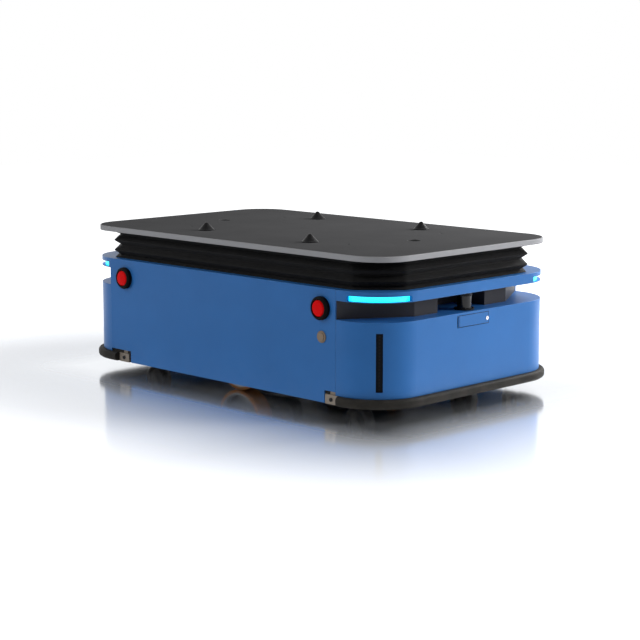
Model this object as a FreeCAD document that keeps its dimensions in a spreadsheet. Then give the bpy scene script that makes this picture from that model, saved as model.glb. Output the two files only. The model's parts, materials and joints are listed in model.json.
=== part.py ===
"""Low lifting mobile robot: a parametric assembly of chassis, covers, drive units, casters and lift.

Frame: +X towards the front end, +Y to the left, +Z up, origin on the floor at the footprint's centre.
All lengths are millimetres. The lift platform is drawn raised.
"""
import FreeCAD, Part
import math
import os

import Sketcher
from FreeCAD import Placement, Rotation, Vector

SIZES = {
    # overall body
    "body_length": 1070, "body_width": 650, "corner_radius": 120,
    "deck_top": 297, "band_bottom": 272.5, "cover_top": 228.5, "cover_bottom": 53.5,
    "skin_bottom": 31.5, "cover_wall": 2.5, "panel_wall": 3,
    "front_return": 139, "rear_return": 113, "seam": 0.5,
    "notch_height": 61, "notch_gap": 5,
    # base plate and posts
    "base_level": 100, "base_thickness": 6, "base_corner_extra": 40,
    "post_side": 30, "post_inset_x": 235, "post_inset_y": 42,
    # deck
    "deck_skin": 6, "deck_rim": 24, "deck_return": 127, "light_depth": 9, "light_low": 274,
    "light_height": 12.7, "light_thickness": 4, "light_half_angle": 38,
    # covers
    "lip_depth": 14, "sensor_width": 16, "sensor_low": 69.5, "sensor_high": 204, "sensor_recess": 3,
    "sensor_depth": 12,
    "hatch_right": 62.8, "hatch_left": 48.6, "hatch_low": 195, "hatch_high": 222, "hatch_gap": 0.6,
    "hatch_wall": 2, "hinge_radius": 2.2, "box_depth": 18, "box_wall": 1.8,
    "latch_offset": 5.5, "latch_level": 207, "latch_radius": 3, "cam_length": 9.5, "cam_room": 6,
    # scanner bays
    "shield_inset": 43, "shield_return": 160, "shield_wall": 2, "bay_half": 85, "bay_depth": 80,
    "scanner_inset": 34, "scanner_radius": 24, "window_radius": 17.5, "scanner_flange": 4,
    "scanner_body": 24, "scanner_boss": 12, "window_height": 30, "cap_height": 5,
    # bumper
    "bumper_out": 14, "bumper_round": 8, "bumper_lap_front": 13, "bumper_lap_rear": -30,
    "bracket_width": 38, "bracket_gap": 5, "bracket_proud": 3,
    "bracket_tongue": 16, "bracket_tongue_height": 48, "bracket_hole": 3,
    # platform and bellows
    "plate_inset_x": 4.5, "plate_inset_y": 7, "plate_radius": 91, "plate_top": 378,
    "plate_thickness": 13, "plate_edge": 1.5, "port_x": 341, "port_radius": 16,
    "thread_x": 283, "thread_y": 166, "thread_radius": 4,
    "cone_x": 187, "cone_y": 199, "cone_flange": 20.5, "cone_height": 20, "cone_radius": 14,
    "cone_tip": 5, "cone_base": 4,
    "bellows_tip": 19, "bellows_valley": 33, "bellows_foot": 22, "bellows_chamfer": 85,
    "bellows_pitch": 26, "bellows_first": 18.8, "bellows_wall": 3, "bellows_gap": 0.5,
    # lift
    "screw_inset": 275, "screw_y": 130, "screw_radius": 8, "screw_top": 285,
    "running_gap": 0.3, "tube_radius": 17, "tube_bore": 11, "tube_bottom": 215, "nut_height": 30,
    "tube_head": 34, "tube_head_thickness": 4,
    "bearing_radius": 25, "bearing_height": 24,
    "pulley_level": 134, "pulley_height": 15, "pulley_radius": 19.7, "belt_thickness": 2.4,
    "belt_gap": 0.3, "flange_radius": 23, "bush_radius": 22, "bush_flange": 30,
    "bush_flange_height": 2.5, "bush_depth": 24,
    "motor_inset": 235, "motor_radius": 35, "motor_height": 100, "motor_plate": 5, "motor_leg": 5,
    "motor_leg_x": 38, "motor_leg_y": 42, "motor_shaft": 6, "motor_plate_level": 153,
    # drive units
    "wheel_radius": 75, "wheel_width": 45, "wheel_inset": 63, "tread": 8, "hub_bore": 10,
    "hub_web": 12, "hub_radius": 28, "arm_offset": 21, "arm_thickness": 10, "pivot_x": 125,
    "pivot_radius": 6, "pivot_boss": 14, "pivot_roof": 4, "arm_core": 40,
    "arm_tail_x": 115, "arm_tail_level": 52, "arm_tail_radius": 12,
    "spring_radius": 11, "spring_wire": 2.2, "spring_seat": 66,
    "gear_radius": 43, "gear_length": 60, "drive_radius": 34, "drive_length": 62, "ear": 6,
    "well_front": 95, "well_rear": 100, "well_gap": 13, "shaft_radius": 10,
    # casters
    "caster_inset_x": 165, "caster_inset_y": 135, "caster_radius": 37.5, "caster_width": 28,
    "caster_trail": 26, "caster_plate": 92, "caster_plate_thickness": 4, "race_radius": 29,
    "race_height": 3, "fork_top": 92.5, "fork_thickness": 5, "fork_radius": 31, "fork_leg": 4,
    "fork_gap": 2, "kingpin": 6, "axle_radius": 4, "caster_tread": 6,
    # controls
    "stop_inset_front": 45, "stop_inset_rear": 60, "stop_level": 250.5, "stop_ring": 27.5,
    "stop_ring_height": 12, "stop_head": 19, "stop_head_height": 13.5, "stop_travel": 4,
    "stop_barrel": 11, "stop_stem": 5, "stop_block": 30, "stop_block_depth": 40,
    "button_offset": 1, "button_level": 184, "button_bezel": 14, "button_bezel_height": 2.5,
    "button_radius": 10, "button_proud": 4, "button_travel": 2, "button_barrel": 11,
    "button_depth": 26, "button_stem": 4,
    # inside the body
    "battery_inset": 135, "battery_length": 160, "battery_side_gap": 102, "battery_height": 90,
    "control_inset": 128, "control_length": 100, "control_width": 300, "control_height": 60,
    "driver_x": 180, "driver_length": 90, "driver_width": 110, "driver_height": 35, "rib": 3,
}

doc = FreeCAD.newDocument("lifting_robot")
sheet = doc.addObject("Spreadsheet::Sheet", "sizes")
for row, (alias, number) in enumerate(SIZES.items(), start=1):
    sheet.set(f"A{row}", alias)
    sheet.set(f"B{row}", str(number))
    sheet.setAlias(f"B{row}", alias)
doc.recompute()


class Size:
    """A length that knows its number and the expression that gives it."""

    def __init__(self, number, text=None):
        self.number = float(number)
        self.text = text if text else repr(float(number))

    def _join(self, other, sign, number):
        return Size(number, f"({self.text} {sign} {other.text})")

    def __add__(self, other):
        other = size_of(other)
        return self._join(other, "+", self.number + other.number)

    def __radd__(self, other):
        return size_of(other) + self

    def __sub__(self, other):
        other = size_of(other)
        return self._join(other, "-", self.number - other.number)

    def __rsub__(self, other):
        return size_of(other) - self

    def __mul__(self, other):
        other = size_of(other)
        return self._join(other, "*", self.number * other.number)

    def __rmul__(self, other):
        return size_of(other) * self

    def __truediv__(self, other):
        other = size_of(other)
        return self._join(other, "/", self.number / other.number)

    def __neg__(self):
        return Size(-self.number, f"(0 - {self.text})")


def size_of(value):
    """Return value as a Size."""
    return value if isinstance(value, Size) else Size(value)


def number_of(value):
    """Return a Size's number, to sort by."""
    return value.number


class Sizes:
    """Gives each cell of the sheet as a Size: d.wall is the cell named wall."""

    def __getattr__(self, alias):
        return Size(sheet.get(alias), f"sizes.{alias}")


d = Sizes()
NODES = []


def bind(thing, prop, value):
    """Set a property and tie it to the sheet."""
    value = size_of(value)
    thing.setExpression(prop, value.text)


def node(thing, label):
    """Name a finished sub-part; the name becomes its file's name."""
    thing.Label = label
    NODES.append(thing)
    return thing


def place(thing, x=0, y=0, z=0, turn=0, axis=(0, 0, 1)):
    """Put an object at x, y, z, turned by a fixed angle about an axis."""
    thing.Placement = Placement(Vector(0, 0, 0), Rotation(Vector(*axis), turn))
    for letter, value in zip("xyz", (x, y, z)):
        bind(thing, f"Placement.Base.{letter}", value)
    return thing


# ---- sketches -------------------------------------------------------------------------------

def new_body(name):
    """Start a body that may hold several solids."""
    body = doc.addObject("PartDesign::Body", name)
    body.AllowCompound = True
    return body


def origin_part(body, role):
    """Find one of the body's own origin planes or axes."""
    for feature in body.Origin.OriginFeatures:
        if feature.Role == role:
            return feature
    raise ValueError(role)


def sketch(body, plane="XY_Plane", level=0, turn=0):
    """Add a sketch on an origin plane, shifted along its normal and turned about its upright."""
    item = body.newObject("Sketcher::SketchObject", f"{body.Name}_sketch")
    item.AttachmentSupport = [(origin_part(body, plane), "")]
    item.MapMode = "FlatFace"
    if turn:
        item.AttachmentOffset = Placement(Vector(0, 0, 0), Rotation(Vector(0, 1, 0), turn))
    if size_of(level).text != "0.0":
        bind(item, "AttachmentOffset.Base.z", level)
    return item


def fix_point(item, geometry, point, x, y):
    """Dimension one point of a sketch from its origin."""
    for kind, axis, value in (("DistanceX", -2, size_of(x)), ("DistanceY", -1, size_of(y))):
        if value.text == "0.0":
            item.addConstraint(Sketcher.Constraint("PointOnObject", geometry, point, axis))
            continue
        index = item.addConstraint(Sketcher.Constraint(kind, -1, 1, geometry, point, value.number))
        bind(item, f"Constraints[{index}]", value)


def circle(item, x, y, radius):
    """Draw a dimensioned circle."""
    x, y, radius = size_of(x), size_of(y), size_of(radius)
    shape = Part.Circle(Vector(x.number, y.number, 0), Vector(0, 0, 1), radius.number)
    geometry = item.addGeometry(shape, False)
    fix_point(item, geometry, 3, x, y)
    index = item.addConstraint(Sketcher.Constraint("Radius", geometry, radius.number))
    bind(item, f"Constraints[{index}]", radius)


def polygon(item, points):
    """Draw a closed polygon, each corner dimensioned from the origin."""
    points = [(size_of(x), size_of(y)) for x, y in points]
    corners = [Vector(x.number, y.number, 0) for x, y in points]
    first = item.GeometryCount
    count = len(points)
    for index, corner in enumerate(corners):
        item.addGeometry(Part.LineSegment(corner, corners[(index + 1) % count]), False)
    for index in range(count):
        follower = first + (index + 1) % count
        item.addConstraint(Sketcher.Constraint("Coincident", first + index, 2, follower, 1))
    for index, (x, y) in enumerate(points):
        fix_point(item, first + index, 1, x, y)


def box(item, low_x, low_y, high_x, high_y):
    """Draw a rectangle from its two corners."""
    polygon(item, [(low_x, low_y), (high_x, low_y), (high_x, high_y), (low_x, high_y)])


def rounded_box(item, half_x, half_y, radius):
    """Draw a rectangle centred on the origin with round corners."""
    half_x, half_y, radius = size_of(half_x), size_of(half_y), size_of(radius)
    first = item.GeometryCount
    centres = [(sx * (half_x - radius), sy * (half_y - radius))
               for sx, sy in ((1, 1), (-1, 1), (-1, -1), (1, -1))]
    for quarter, (x, y) in enumerate(centres):
        arc = Part.Circle(Vector(x.number, y.number, 0), Vector(0, 0, 1), radius.number)
        start = quarter * math.pi / 2
        item.addGeometry(Part.ArcOfCircle(arc, start, start + math.pi / 2), False)
    ends = []
    for quarter, (x, y) in enumerate(centres):
        angle = (quarter + 1) * math.pi / 2
        ends.append(Vector(x.number + radius.number * math.cos(angle),
                           y.number + radius.number * math.sin(angle), 0))
    for quarter in range(4):
        x, y = centres[(quarter + 1) % 4]
        angle = (quarter + 1) * math.pi / 2
        stop = Vector(x.number + radius.number * math.cos(angle),
                      y.number + radius.number * math.sin(angle), 0)
        item.addGeometry(Part.LineSegment(ends[quarter], stop), False)
    for quarter in range(4):
        line, follower = first + 4 + quarter, first + (quarter + 1) % 4
        item.addConstraint(Sketcher.Constraint("Tangent", first + quarter, 2, line, 1))
        item.addConstraint(Sketcher.Constraint("Tangent", line, 2, follower, 1))
    for quarter, (x, y) in enumerate(centres):
        fix_point(item, first + quarter, 3, x, y)
        if quarter == 0:
            index = item.addConstraint(Sketcher.Constraint("Radius", first, radius.number))
            bind(item, f"Constraints[{index}]", radius)
        elif quarter == 2:
            item.addConstraint(Sketcher.Constraint("Equal", first, first + quarter))


def arc_band(item, x, y, inner, outer, middle, half_angle):
    """Draw a band between two arcs about x, y, half_angle degrees each side of the middle angle."""
    x, y, inner, outer = size_of(x), size_of(y), size_of(inner), size_of(outer)
    half_angle = size_of(half_angle)
    first = item.GeometryCount
    angles = [math.radians(middle - half_angle.number), math.radians(middle + half_angle.number)]
    centre = Vector(x.number, y.number, 0)
    for radius in (inner, outer):
        round_edge = Part.Circle(centre, Vector(0, 0, 1), radius.number)
        item.addGeometry(Part.ArcOfCircle(round_edge, *angles), False)
    for angle in angles:
        way = Vector(math.cos(angle), math.sin(angle), 0)
        item.addGeometry(Part.LineSegment(centre + way * inner.number, centre + way * outer.number),
                         False)
    add = item.addConstraint
    for number in (0, 1):
        line = first + 2 + number
        add(Sketcher.Constraint("Coincident", first, 1 + number, line, 1))
        add(Sketcher.Constraint("Coincident", first + 1, 1 + number, line, 2))
        add(Sketcher.Constraint("PointOnObject", first, 3, line))
    add(Sketcher.Constraint("Coincident", first, 3, first + 1, 3))
    fix_point(item, first, 3, x, y)
    for number, radius in enumerate((inner, outer)):
        index = add(Sketcher.Constraint("Radius", first + number, radius.number))
        bind(item, f"Constraints[{index}]", radius)
    for number, side in enumerate((-1, 1)):
        value = middle + side * half_angle
        index = add(Sketcher.Constraint("Angle", first + 2 + number, math.radians(value.number)))
        bind(item, f"Constraints[{index}]", value)


# ---- features -------------------------------------------------------------------------------

def pad(body, profile, length, back=False, middle=False):
    """Raise a sketch along its normal, or against it."""
    feature = body.newObject("PartDesign::Pad", f"{body.Name}_pad")
    feature.Profile = profile
    feature.Reversed = back
    feature.Midplane = middle
    bind(feature, "Length", length)
    profile.Visibility = False
    return feature


def cut(body, profile, length, forward=False, middle=False):
    """Cut a sketch against its normal, or along it with forward."""
    feature = body.newObject("PartDesign::Pocket", f"{body.Name}_cut")
    feature.Profile = profile
    feature.Reversed = forward
    feature.Midplane = middle
    bind(feature, "Length", length)
    return feature


def revolve(body, profile):
    """Turn a sketch on the XZ plane about the body's Z axis."""
    feature = body.newObject("PartDesign::Revolution", f"{body.Name}_turn")
    feature.Profile = profile
    feature.ReferenceAxis = (origin_part(body, "Z_Axis"), [""])
    feature.Angle = 360
    return feature


def turned(name, points):
    """Make a round piece from its half section, given as (radius, height) points."""
    body = new_body(name)
    item = sketch(body, "XZ_Plane")
    polygon(item, points)
    revolve(body, item)
    return body


def loft(body, sections, take_away=False):
    """Join sections with straight faces."""
    kind = "PartDesign::SubtractiveLoft" if take_away else "PartDesign::AdditiveLoft"
    feature = body.newObject(kind, f"{body.Name}_loft")
    feature.Profile = sections[0]
    feature.Sections = sections[1:]
    feature.Ruled = True
    return feature


def edges_where(body, test):
    """Name the tip's edges whose middle and length pass a test."""
    doc.recompute()
    names = []
    for number, edge in enumerate(body.Tip.Shape.Edges, start=1):
        if test(edge.CenterOfMass, edge):
            names.append(f"Edge{number}")
    return names


def soften(body, kind, amount, test):
    """Fillet or chamfer the edges that pass a test."""
    names = edges_where(body, test)
    if not names:
        raise ValueError(f"no edges to soften on {body.Name}")
    base = body.Tip
    feature = body.newObject(f"PartDesign::{kind}", f"{body.Name}_{kind.lower()}")
    feature.Base = (base, names)
    bind(feature, "Radius" if kind == "Fillet" else "Size", amount)
    return feature


def is_level(middle, edge):
    """Tell whether an edge lies level."""
    return abs(edge.Vertexes[0].Z - edge.Vertexes[-1].Z) < 0.01


def group(label, members):
    """Make one node of several equal pieces."""
    compound = doc.addObject("Part::Compound", label)
    compound.Links = members
    return node(compound, label)


FOUR = ((1, 1), (-1, 1), (-1, -1), (1, -1))
half_length, half_width = d.body_length / 2, d.body_width / 2
inner_width = half_width - d.panel_wall
corner_x, corner_y = half_length - d.corner_radius, half_width - d.corner_radius
base_top = d.base_level + d.base_thickness
plate_bottom = d.plate_top - d.plate_thickness
panel_front, panel_rear = half_length - d.front_return, half_length - d.rear_return
shield_x, shield_y = half_length - d.shield_inset, half_width - d.shield_return
scanner_x = half_length - d.scanner_inset
screw_x, motor_x = half_length - d.screw_inset, half_length - d.motor_inset
bumper_front, bumper_rear = panel_front + d.bumper_lap_front, panel_rear + d.bumper_lap_rear
bracket_front = bumper_front - d.bracket_gap - d.bracket_width / 2
bracket_rear = bumper_rear - d.bracket_gap - d.bracket_width / 2
wheel_outer = half_width - d.wheel_inset
wheel_inner = wheel_outer - d.wheel_width
arm_y = wheel_inner - d.arm_offset
stop_front, stop_rear = panel_front - d.stop_inset_front, panel_rear - d.stop_inset_rear
button_x = stop_front + d.button_offset


# ---- base, posts and deck -------------------------------------------------------------------

def base_plate():
    """Flat welded base with wells for the drive units."""
    body = new_body("base")
    item = sketch(body, level=d.base_level)
    rounded_box(item, half_length - d.cover_wall, inner_width, d.corner_radius + d.base_corner_extra)
    pad(body, item, d.base_thickness)
    wells = sketch(body, level=d.base_level)
    for side in (-1, 1):
        inner = arm_y - d.drive_length - d.gear_length - d.well_gap
        low, high = sorted((side * inner, side * (wheel_outer + d.well_gap)), key=number_of)
        box(wells, -d.well_rear, low, d.well_front, high)
    cut(body, wells, d.base_thickness, forward=True)
    node(body, "base_plate")


def deck_posts():
    """Square posts that carry the deck."""
    body = new_body("posts")
    item = sketch(body, level=base_top)
    half = d.post_side / 2
    for sx in (-1, 0, 1):
        for sy in (-1, 1):
            x, y = sx * (half_length - d.post_inset_x), sy * (inner_width - d.post_inset_y)
            if sx == 0:
                box(item, -half, y - half, half, y + half)
            else:
                box(item, x - half, y - half, x + half, y + half)
    pad(body, item, d.deck_top - d.deck_skin - base_top)
    node(body, "deck_posts")


def deck():
    """Top deck with a deep rim, light grooves in its corners and holes for the lift bushes."""
    body = new_body("deck_body")
    item = sketch(body, level=d.band_bottom)
    rounded_box(item, half_length, half_width, d.corner_radius)
    pad(body, item, d.deck_top - d.band_bottom)
    sides = sketch(body, level=d.band_bottom)
    for side in (-1, 1):
        low, high = sorted((side * inner_width, side * (half_width + 1)), key=number_of)
        box(sides, -panel_rear - d.seam, low, panel_front + d.seam, high)
    cut(body, sides, d.deck_top - d.band_bottom, forward=True)
    hollow = sketch(body, level=d.band_bottom)
    rounded_box(hollow, half_length - d.deck_return, inner_width - d.deck_rim, d.deck_rim)
    cut(body, hollow, d.deck_top - d.band_bottom - d.deck_skin, forward=True)
    grooves = sketch(body, level=d.light_low)
    for index, (sx, sy) in enumerate(FOUR):
        reach = d.corner_radius - d.light_depth - d.light_thickness
        arc_band(grooves, sx * corner_x, sy * corner_y, reach, d.corner_radius + 1,
                 45 + 90 * index, d.light_half_angle)
    cut(body, grooves, d.light_height, forward=True)
    holes = sketch(body, level=d.deck_top - d.deck_skin)
    for sx, sy in FOUR:
        circle(holes, sx * screw_x, sy * d.screw_y, d.bush_radius)
    cut(body, holes, d.deck_skin, forward=True)
    node(body, "deck")


def status_lights():
    """Curved light bars set back in the deck's corner grooves."""
    body = new_body("lights")
    item = sketch(body, level=d.light_low)
    for index, (sx, sy) in enumerate(FOUR):
        reach = d.corner_radius - d.light_depth
        arc_band(item, sx * corner_x, sy * corner_y, reach - d.light_thickness, reach,
                 45 + 90 * index, d.light_half_angle)
    pad(body, item, d.light_height)
    node(body, "status_lights")


# ---- outer skins ----------------------------------------------------------------------------

def side_panel(label, side):
    """Flat side skin, notched at its lower corners, with holes for the controls."""
    body = new_body(label)
    item = sketch(body, "XZ_Plane")
    reach = d.bracket_width / 2 + d.notch_gap
    polygon(item, [(-panel_rear, d.notch_height), (reach - bracket_rear, d.notch_height),
                   (reach - bracket_rear, d.skin_bottom), (bracket_front - reach, d.skin_bottom),
                   (bracket_front - reach, d.notch_height), (panel_front, d.notch_height),
                   (panel_front, d.deck_top), (-panel_rear, d.deck_top)])
    pad(body, item, d.panel_wall, back=True)
    holes = sketch(body, "XZ_Plane")
    circle(holes, stop_front, d.stop_level, d.stop_barrel)
    circle(holes, -stop_rear, d.stop_level, d.stop_barrel)
    if side < 0:
        circle(holes, button_x, d.button_level, d.button_barrel)
    cut(body, holes, d.panel_wall, forward=False)
    place(body, y=-half_width if side < 0 else inner_width)
    node(body, label)


def end_cover(label, end):
    """Hollow end cover: a wall round both corners, a top, and a lip that carries the bumper."""
    body = new_body(label)
    seam_x = (panel_front if end > 0 else panel_rear) + d.seam
    item = sketch(body, level=d.cover_bottom)
    rounded_box(item, half_length, half_width, d.corner_radius)
    pad(body, item, d.cover_top - d.cover_bottom)
    away = sketch(body, level=d.cover_bottom)
    box(away, -half_length - 1, -half_width - 1, seam_x, half_width + 1)
    cut(body, away, d.cover_top - d.cover_bottom, forward=True)
    mouth = sketch(body, level=d.cover_bottom)
    rounded_box(mouth, half_length - d.lip_depth, half_width - d.lip_depth,
                d.corner_radius - d.lip_depth)
    cut(body, mouth, d.cover_wall, forward=True)
    inside = sketch(body, level=d.cover_bottom + d.cover_wall)
    rounded_box(inside, half_length - d.cover_wall, half_width - d.cover_wall,
                d.corner_radius - d.cover_wall)
    cut(body, inside, d.cover_top - d.cover_bottom - 2 * d.cover_wall, forward=True)
    holes = sketch(body, level=d.cover_top)
    circle(holes, scanner_x, 0, d.scanner_boss)
    cut(body, holes, d.cover_wall)
    for side in (-1, 1):
        slot = sketch(body, "XZ_Plane", turn=90 - side * 45)
        shift = side * (corner_x - corner_y) * math.sqrt(0.5)
        slot_box(slot, shift)
        cut(body, slot, 2 * half_length, forward=side > 0)
    if end > 0:
        hatch = sketch(body, "YZ_Plane", level=half_length)
        box(hatch, -d.hatch_right, d.hatch_low, d.hatch_left, d.hatch_high)
        cut(body, hatch, d.cover_wall)
    place(body, turn=0 if end > 0 else 180)
    node(body, label)


def slot_box(slot, shift):
    """Draw the upright sensor slot, shifted sideways from the sketch's origin."""
    box(slot, shift - d.sensor_width / 2, d.sensor_low, shift + d.sensor_width / 2, d.sensor_high)


def corner_sensors():
    """Upright sensor bars behind the corner slots."""
    members = []
    for index, (sx, sy) in enumerate(FOUR):
        body = new_body(f"corner_sensor_{index + 1}")
        front = d.corner_radius - d.sensor_recess
        item = sketch(body, level=d.sensor_low)
        lens = d.sensor_width / 2 - d.running_gap
        back = d.sensor_width / 2 + d.cover_wall
        seat = d.corner_radius - d.cover_wall - d.sensor_recess
        polygon(item, [(seat - d.sensor_depth, -back), (seat, -back), (seat, -lens), (front, -lens),
                       (front, lens), (seat, lens), (seat, back), (seat - d.sensor_depth, back)])
        pad(body, item, d.sensor_high - d.sensor_low)
        members.append(place(body, sx * corner_x, sy * corner_y, turn=45 + 90 * index))
    group("corner_sensors", members)


def scan_shields():
    """Bent walls that close the body behind each scanner slot, with a bay at the scanner."""
    members = []
    for turn, seam_x in ((0, panel_front), (180, panel_rear)):
        body = new_body("shield")
        wall = d.shield_wall
        outer = [(shield_x, d.bay_half), (shield_x, shield_y), (seam_x, inner_width)]
        item = sketch(body, level=d.cover_top)
        for side in (-1, 1):
            front = [(x, side * y) for x, y in outer]
            back = [(x - wall, side * y) for x, y in outer]
            polygon(item, front + back[::-1])
        pad(body, item, d.band_bottom - d.cover_top)
        bay = sketch(body, level=d.cover_top)
        low, high = shield_x - d.bay_depth, shield_x
        polygon(bay, [(high, -d.bay_half), (low, -d.bay_half), (low, d.bay_half),
                      (high, d.bay_half), (high, d.bay_half + wall),
                      (low - wall, d.bay_half + wall), (low - wall, -d.bay_half - wall),
                      (high, -d.bay_half - wall)])
        pad(body, bay, d.band_bottom - d.cover_top)
        members.append(place(body, turn=turn))
    group("scan_shields", members)


# ---- front hatch ----------------------------------------------------------------------------

def hatch_door():
    """Small door on a vertical hinge, with a round hole for its latch."""
    body = new_body("hatch")
    hinge_y = -d.hatch_right + d.hinge_radius + d.hatch_gap
    item = sketch(body, "YZ_Plane", level=half_length - d.hatch_wall)
    box(item, hinge_y, d.hatch_low + d.hatch_gap, d.hatch_left - d.hatch_gap,
        d.hatch_high - d.hatch_gap)
    pad(body, item, d.hatch_wall)
    barrel = sketch(body, level=d.hatch_low + d.hatch_gap)
    circle(barrel, half_length, hinge_y, d.hinge_radius)
    pad(body, barrel, d.hatch_high - d.hatch_low - 2 * d.hatch_gap)
    hole = sketch(body, "YZ_Plane", level=half_length)
    circle(hole, d.hatch_left - d.latch_offset, d.latch_level, d.latch_radius + d.running_gap)
    cut(body, hole, d.hatch_wall)
    node(body, "hatch_door")


def hatch_latch():
    """Quarter-turn latch: round head, shank and a cam that hangs down when free."""
    body = new_body("latch")
    y = d.hatch_left - d.latch_offset
    gap = d.running_gap
    shank = sketch(body, "YZ_Plane", level=half_length + gap)
    circle(shank, y, d.latch_level, d.latch_radius)
    pad(body, shank, d.hatch_wall + 2 * gap + 2, back=True)
    head = sketch(body, "YZ_Plane", level=half_length + gap)
    circle(head, y, d.latch_level, d.latch_radius + 1.5)
    pad(body, head, 1.5)
    cam = sketch(body, "YZ_Plane", level=half_length - d.cover_wall - gap)
    box(cam, y - d.latch_radius, d.latch_level - d.cam_length, y + d.latch_radius, d.latch_level)
    pad(body, cam, 2, back=True)
    node(body, "hatch_latch")


def service_box():
    """Shallow connector box behind the hatch."""
    body = new_body("service")
    front = half_length - d.cover_wall
    item = sketch(body, "YZ_Plane", level=front - d.box_depth)
    wall = d.box_wall
    left = d.hatch_left + d.cam_room
    box(item, -d.hatch_right - wall, d.hatch_low - wall, left + wall, d.hatch_high + wall)
    pad(body, item, d.box_depth)
    hollow = sketch(body, "YZ_Plane", level=front)
    box(hollow, -d.hatch_right, d.hatch_low, left, d.hatch_high)
    cut(body, hollow, d.box_depth - wall)
    sockets = sketch(body, "YZ_Plane", level=front - d.box_depth + wall)
    middle = (d.hatch_low + d.hatch_high) / 2
    for y in (-42, -20):
        box(sockets, y - 8, middle - 7, y + 8, middle + 7)
    circle(sockets, 8, middle, 8)
    pad(body, sockets, 5)
    node(body, "service_box")


# ---- scanners -------------------------------------------------------------------------------

def scanners():
    """Laser scanners: flanged housings with caps, and dark windows between."""
    housings, windows = [], []
    flange_top = d.scanner_flange
    body_radius = d.scanner_boss
    cap_low = flange_top + d.window_height
    for sign in (1, -1):
        base = turned("scanner", [(0, -d.scanner_body), (body_radius, -d.scanner_body),
                                  (body_radius, 0), (d.scanner_radius, 0),
                                  (d.scanner_radius, flange_top), (0, flange_top)])
        housings.append(place(base, sign * scanner_x, 0, d.cover_top))
        cap = turned("cap", [(0, cap_low), (d.window_radius + 1, cap_low),
                             (d.window_radius + 1, cap_low + d.cap_height),
                             (0, cap_low + d.cap_height)])
        housings.append(place(cap, sign * scanner_x, 0, d.cover_top))
        glass = turned("window", [(0, flange_top), (d.window_radius, flange_top),
                                  (d.window_radius, cap_low), (0, cap_low)])
        windows.append(place(glass, sign * scanner_x, 0, d.cover_top))
    group("scanner_housings", housings)
    group("scanner_windows", windows)


# ---- bumpers --------------------------------------------------------------------------------

def bumper(end):
    """Rubber bumper with a rounded nose, wrapped round one end."""
    body = new_body("bumper")
    start = bumper_front if end > 0 else bumper_rear
    height = d.cover_bottom - d.skin_bottom
    item = sketch(body, level=d.skin_bottom)
    rounded_box(item, half_length + d.bumper_out, half_width + d.bumper_out,
                d.corner_radius + d.bumper_out)
    pad(body, item, height)
    soften(body, "Fillet", d.bumper_round, is_level)
    inside = sketch(body, level=d.skin_bottom)
    rounded_box(inside, half_length - d.lip_depth, half_width - d.lip_depth,
                d.corner_radius - d.lip_depth)
    cut(body, inside, height, forward=True)
    away = sketch(body, level=d.skin_bottom)
    edge = d.bumper_out + 1
    box(away, -half_length - edge, -half_width - edge, start, half_width + edge)
    cut(body, away, height, forward=True)
    return place(body, turn=0 if end > 0 else 180)


def bumper_brackets():
    """Small plates that close the bumpers' ends, each with a screw hole."""
    members = []
    for x in (bracket_front, -bracket_rear):
        for side in (-1, 1):
            body = new_body("bracket")
            item = sketch(body, "XZ_Plane")
            half, height = d.bracket_width / 2, d.cover_bottom - d.skin_bottom
            box(item, -half, 0, half, height)
            circle(item, 0, height / 2, d.bracket_hole)
            pad(body, item, d.panel_wall + d.bracket_proud)
            tongue = sketch(body, "XZ_Plane")
            box(tongue, -d.bracket_tongue / 2, height / 2 + 2 * d.bracket_hole,
                d.bracket_tongue / 2, d.bracket_tongue_height)
            pad(body, tongue, d.panel_wall, back=True)
            turn = 0 if side < 0 else 180
            members.append(place(body, x, side * inner_width, d.skin_bottom, turn=turn))
    group("bumper_brackets", members)


# ---- platform -------------------------------------------------------------------------------

def lift_plate():
    """Thick platform with two ports and four threaded holes."""
    body = new_body("plate")
    item = sketch(body, level=plate_bottom)
    rounded_box(item, half_length - d.plate_inset_x, half_width - d.plate_inset_y, d.plate_radius)
    pad(body, item, d.plate_thickness)
    top = d.plate_top.number
    soften(body, "Chamfer", d.plate_edge, lambda c, e: abs(c.z - top) < 0.01)
    holes = sketch(body, level=d.plate_top)
    for sx in (-1, 1):
        circle(holes, sx * d.port_x, 0, d.port_radius)
    for sx, sy in FOUR:
        circle(holes, sx * d.thread_x, sy * d.thread_y, d.thread_radius)
    cut(body, holes, d.plate_thickness)
    node(body, "lift_plate")


def locating_cones():
    """Flanged centring cones that find the load's sockets."""
    members = []
    for sx, sy in FOUR:
        cone = turned("cone", [(0, 0), (d.cone_flange, 0), (d.cone_flange, d.cone_base),
                               (d.cone_radius, d.cone_base), (d.cone_tip, d.cone_height),
                               (0, d.cone_height)])
        members.append(place(cone, sx * d.cone_x, sy * d.cone_y, d.plate_top))
    group("locating_cones", members)


def bellows():
    """Pleated skirt between deck and platform, with chamfered corners."""
    body = new_body("bellows_body")
    top = plate_bottom - d.bellows_gap
    first = d.deck_top + d.bellows_first
    half_pitch = d.bellows_pitch / 2
    levels = [(d.deck_top, d.bellows_foot), (first - half_pitch, d.bellows_valley),
              (first, d.bellows_tip), (first + half_pitch, d.bellows_valley),
              (first + d.bellows_pitch, d.bellows_tip),
              (first + 3 * half_pitch, d.bellows_valley), (top, d.bellows_foot)]
    for inward, take_away in ((0, False), (d.bellows_wall, True)):
        sections = []
        for level, inset in levels:
            item = sketch(body, level=level)
            x, y = half_length - inset - inward, half_width - inset - inward
            leg = d.bellows_chamfer
            polygon(item, [(x, leg - y), (x, y - leg), (x - leg, y), (leg - x, y), (-x, y - leg),
                           (-x, leg - y), (leg - x, -y), (x - leg, -y)])
            sections.append(item)
        loft(body, sections, take_away)
    node(body, "bellows")


# ---- lift mechanism -------------------------------------------------------------------------

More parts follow.
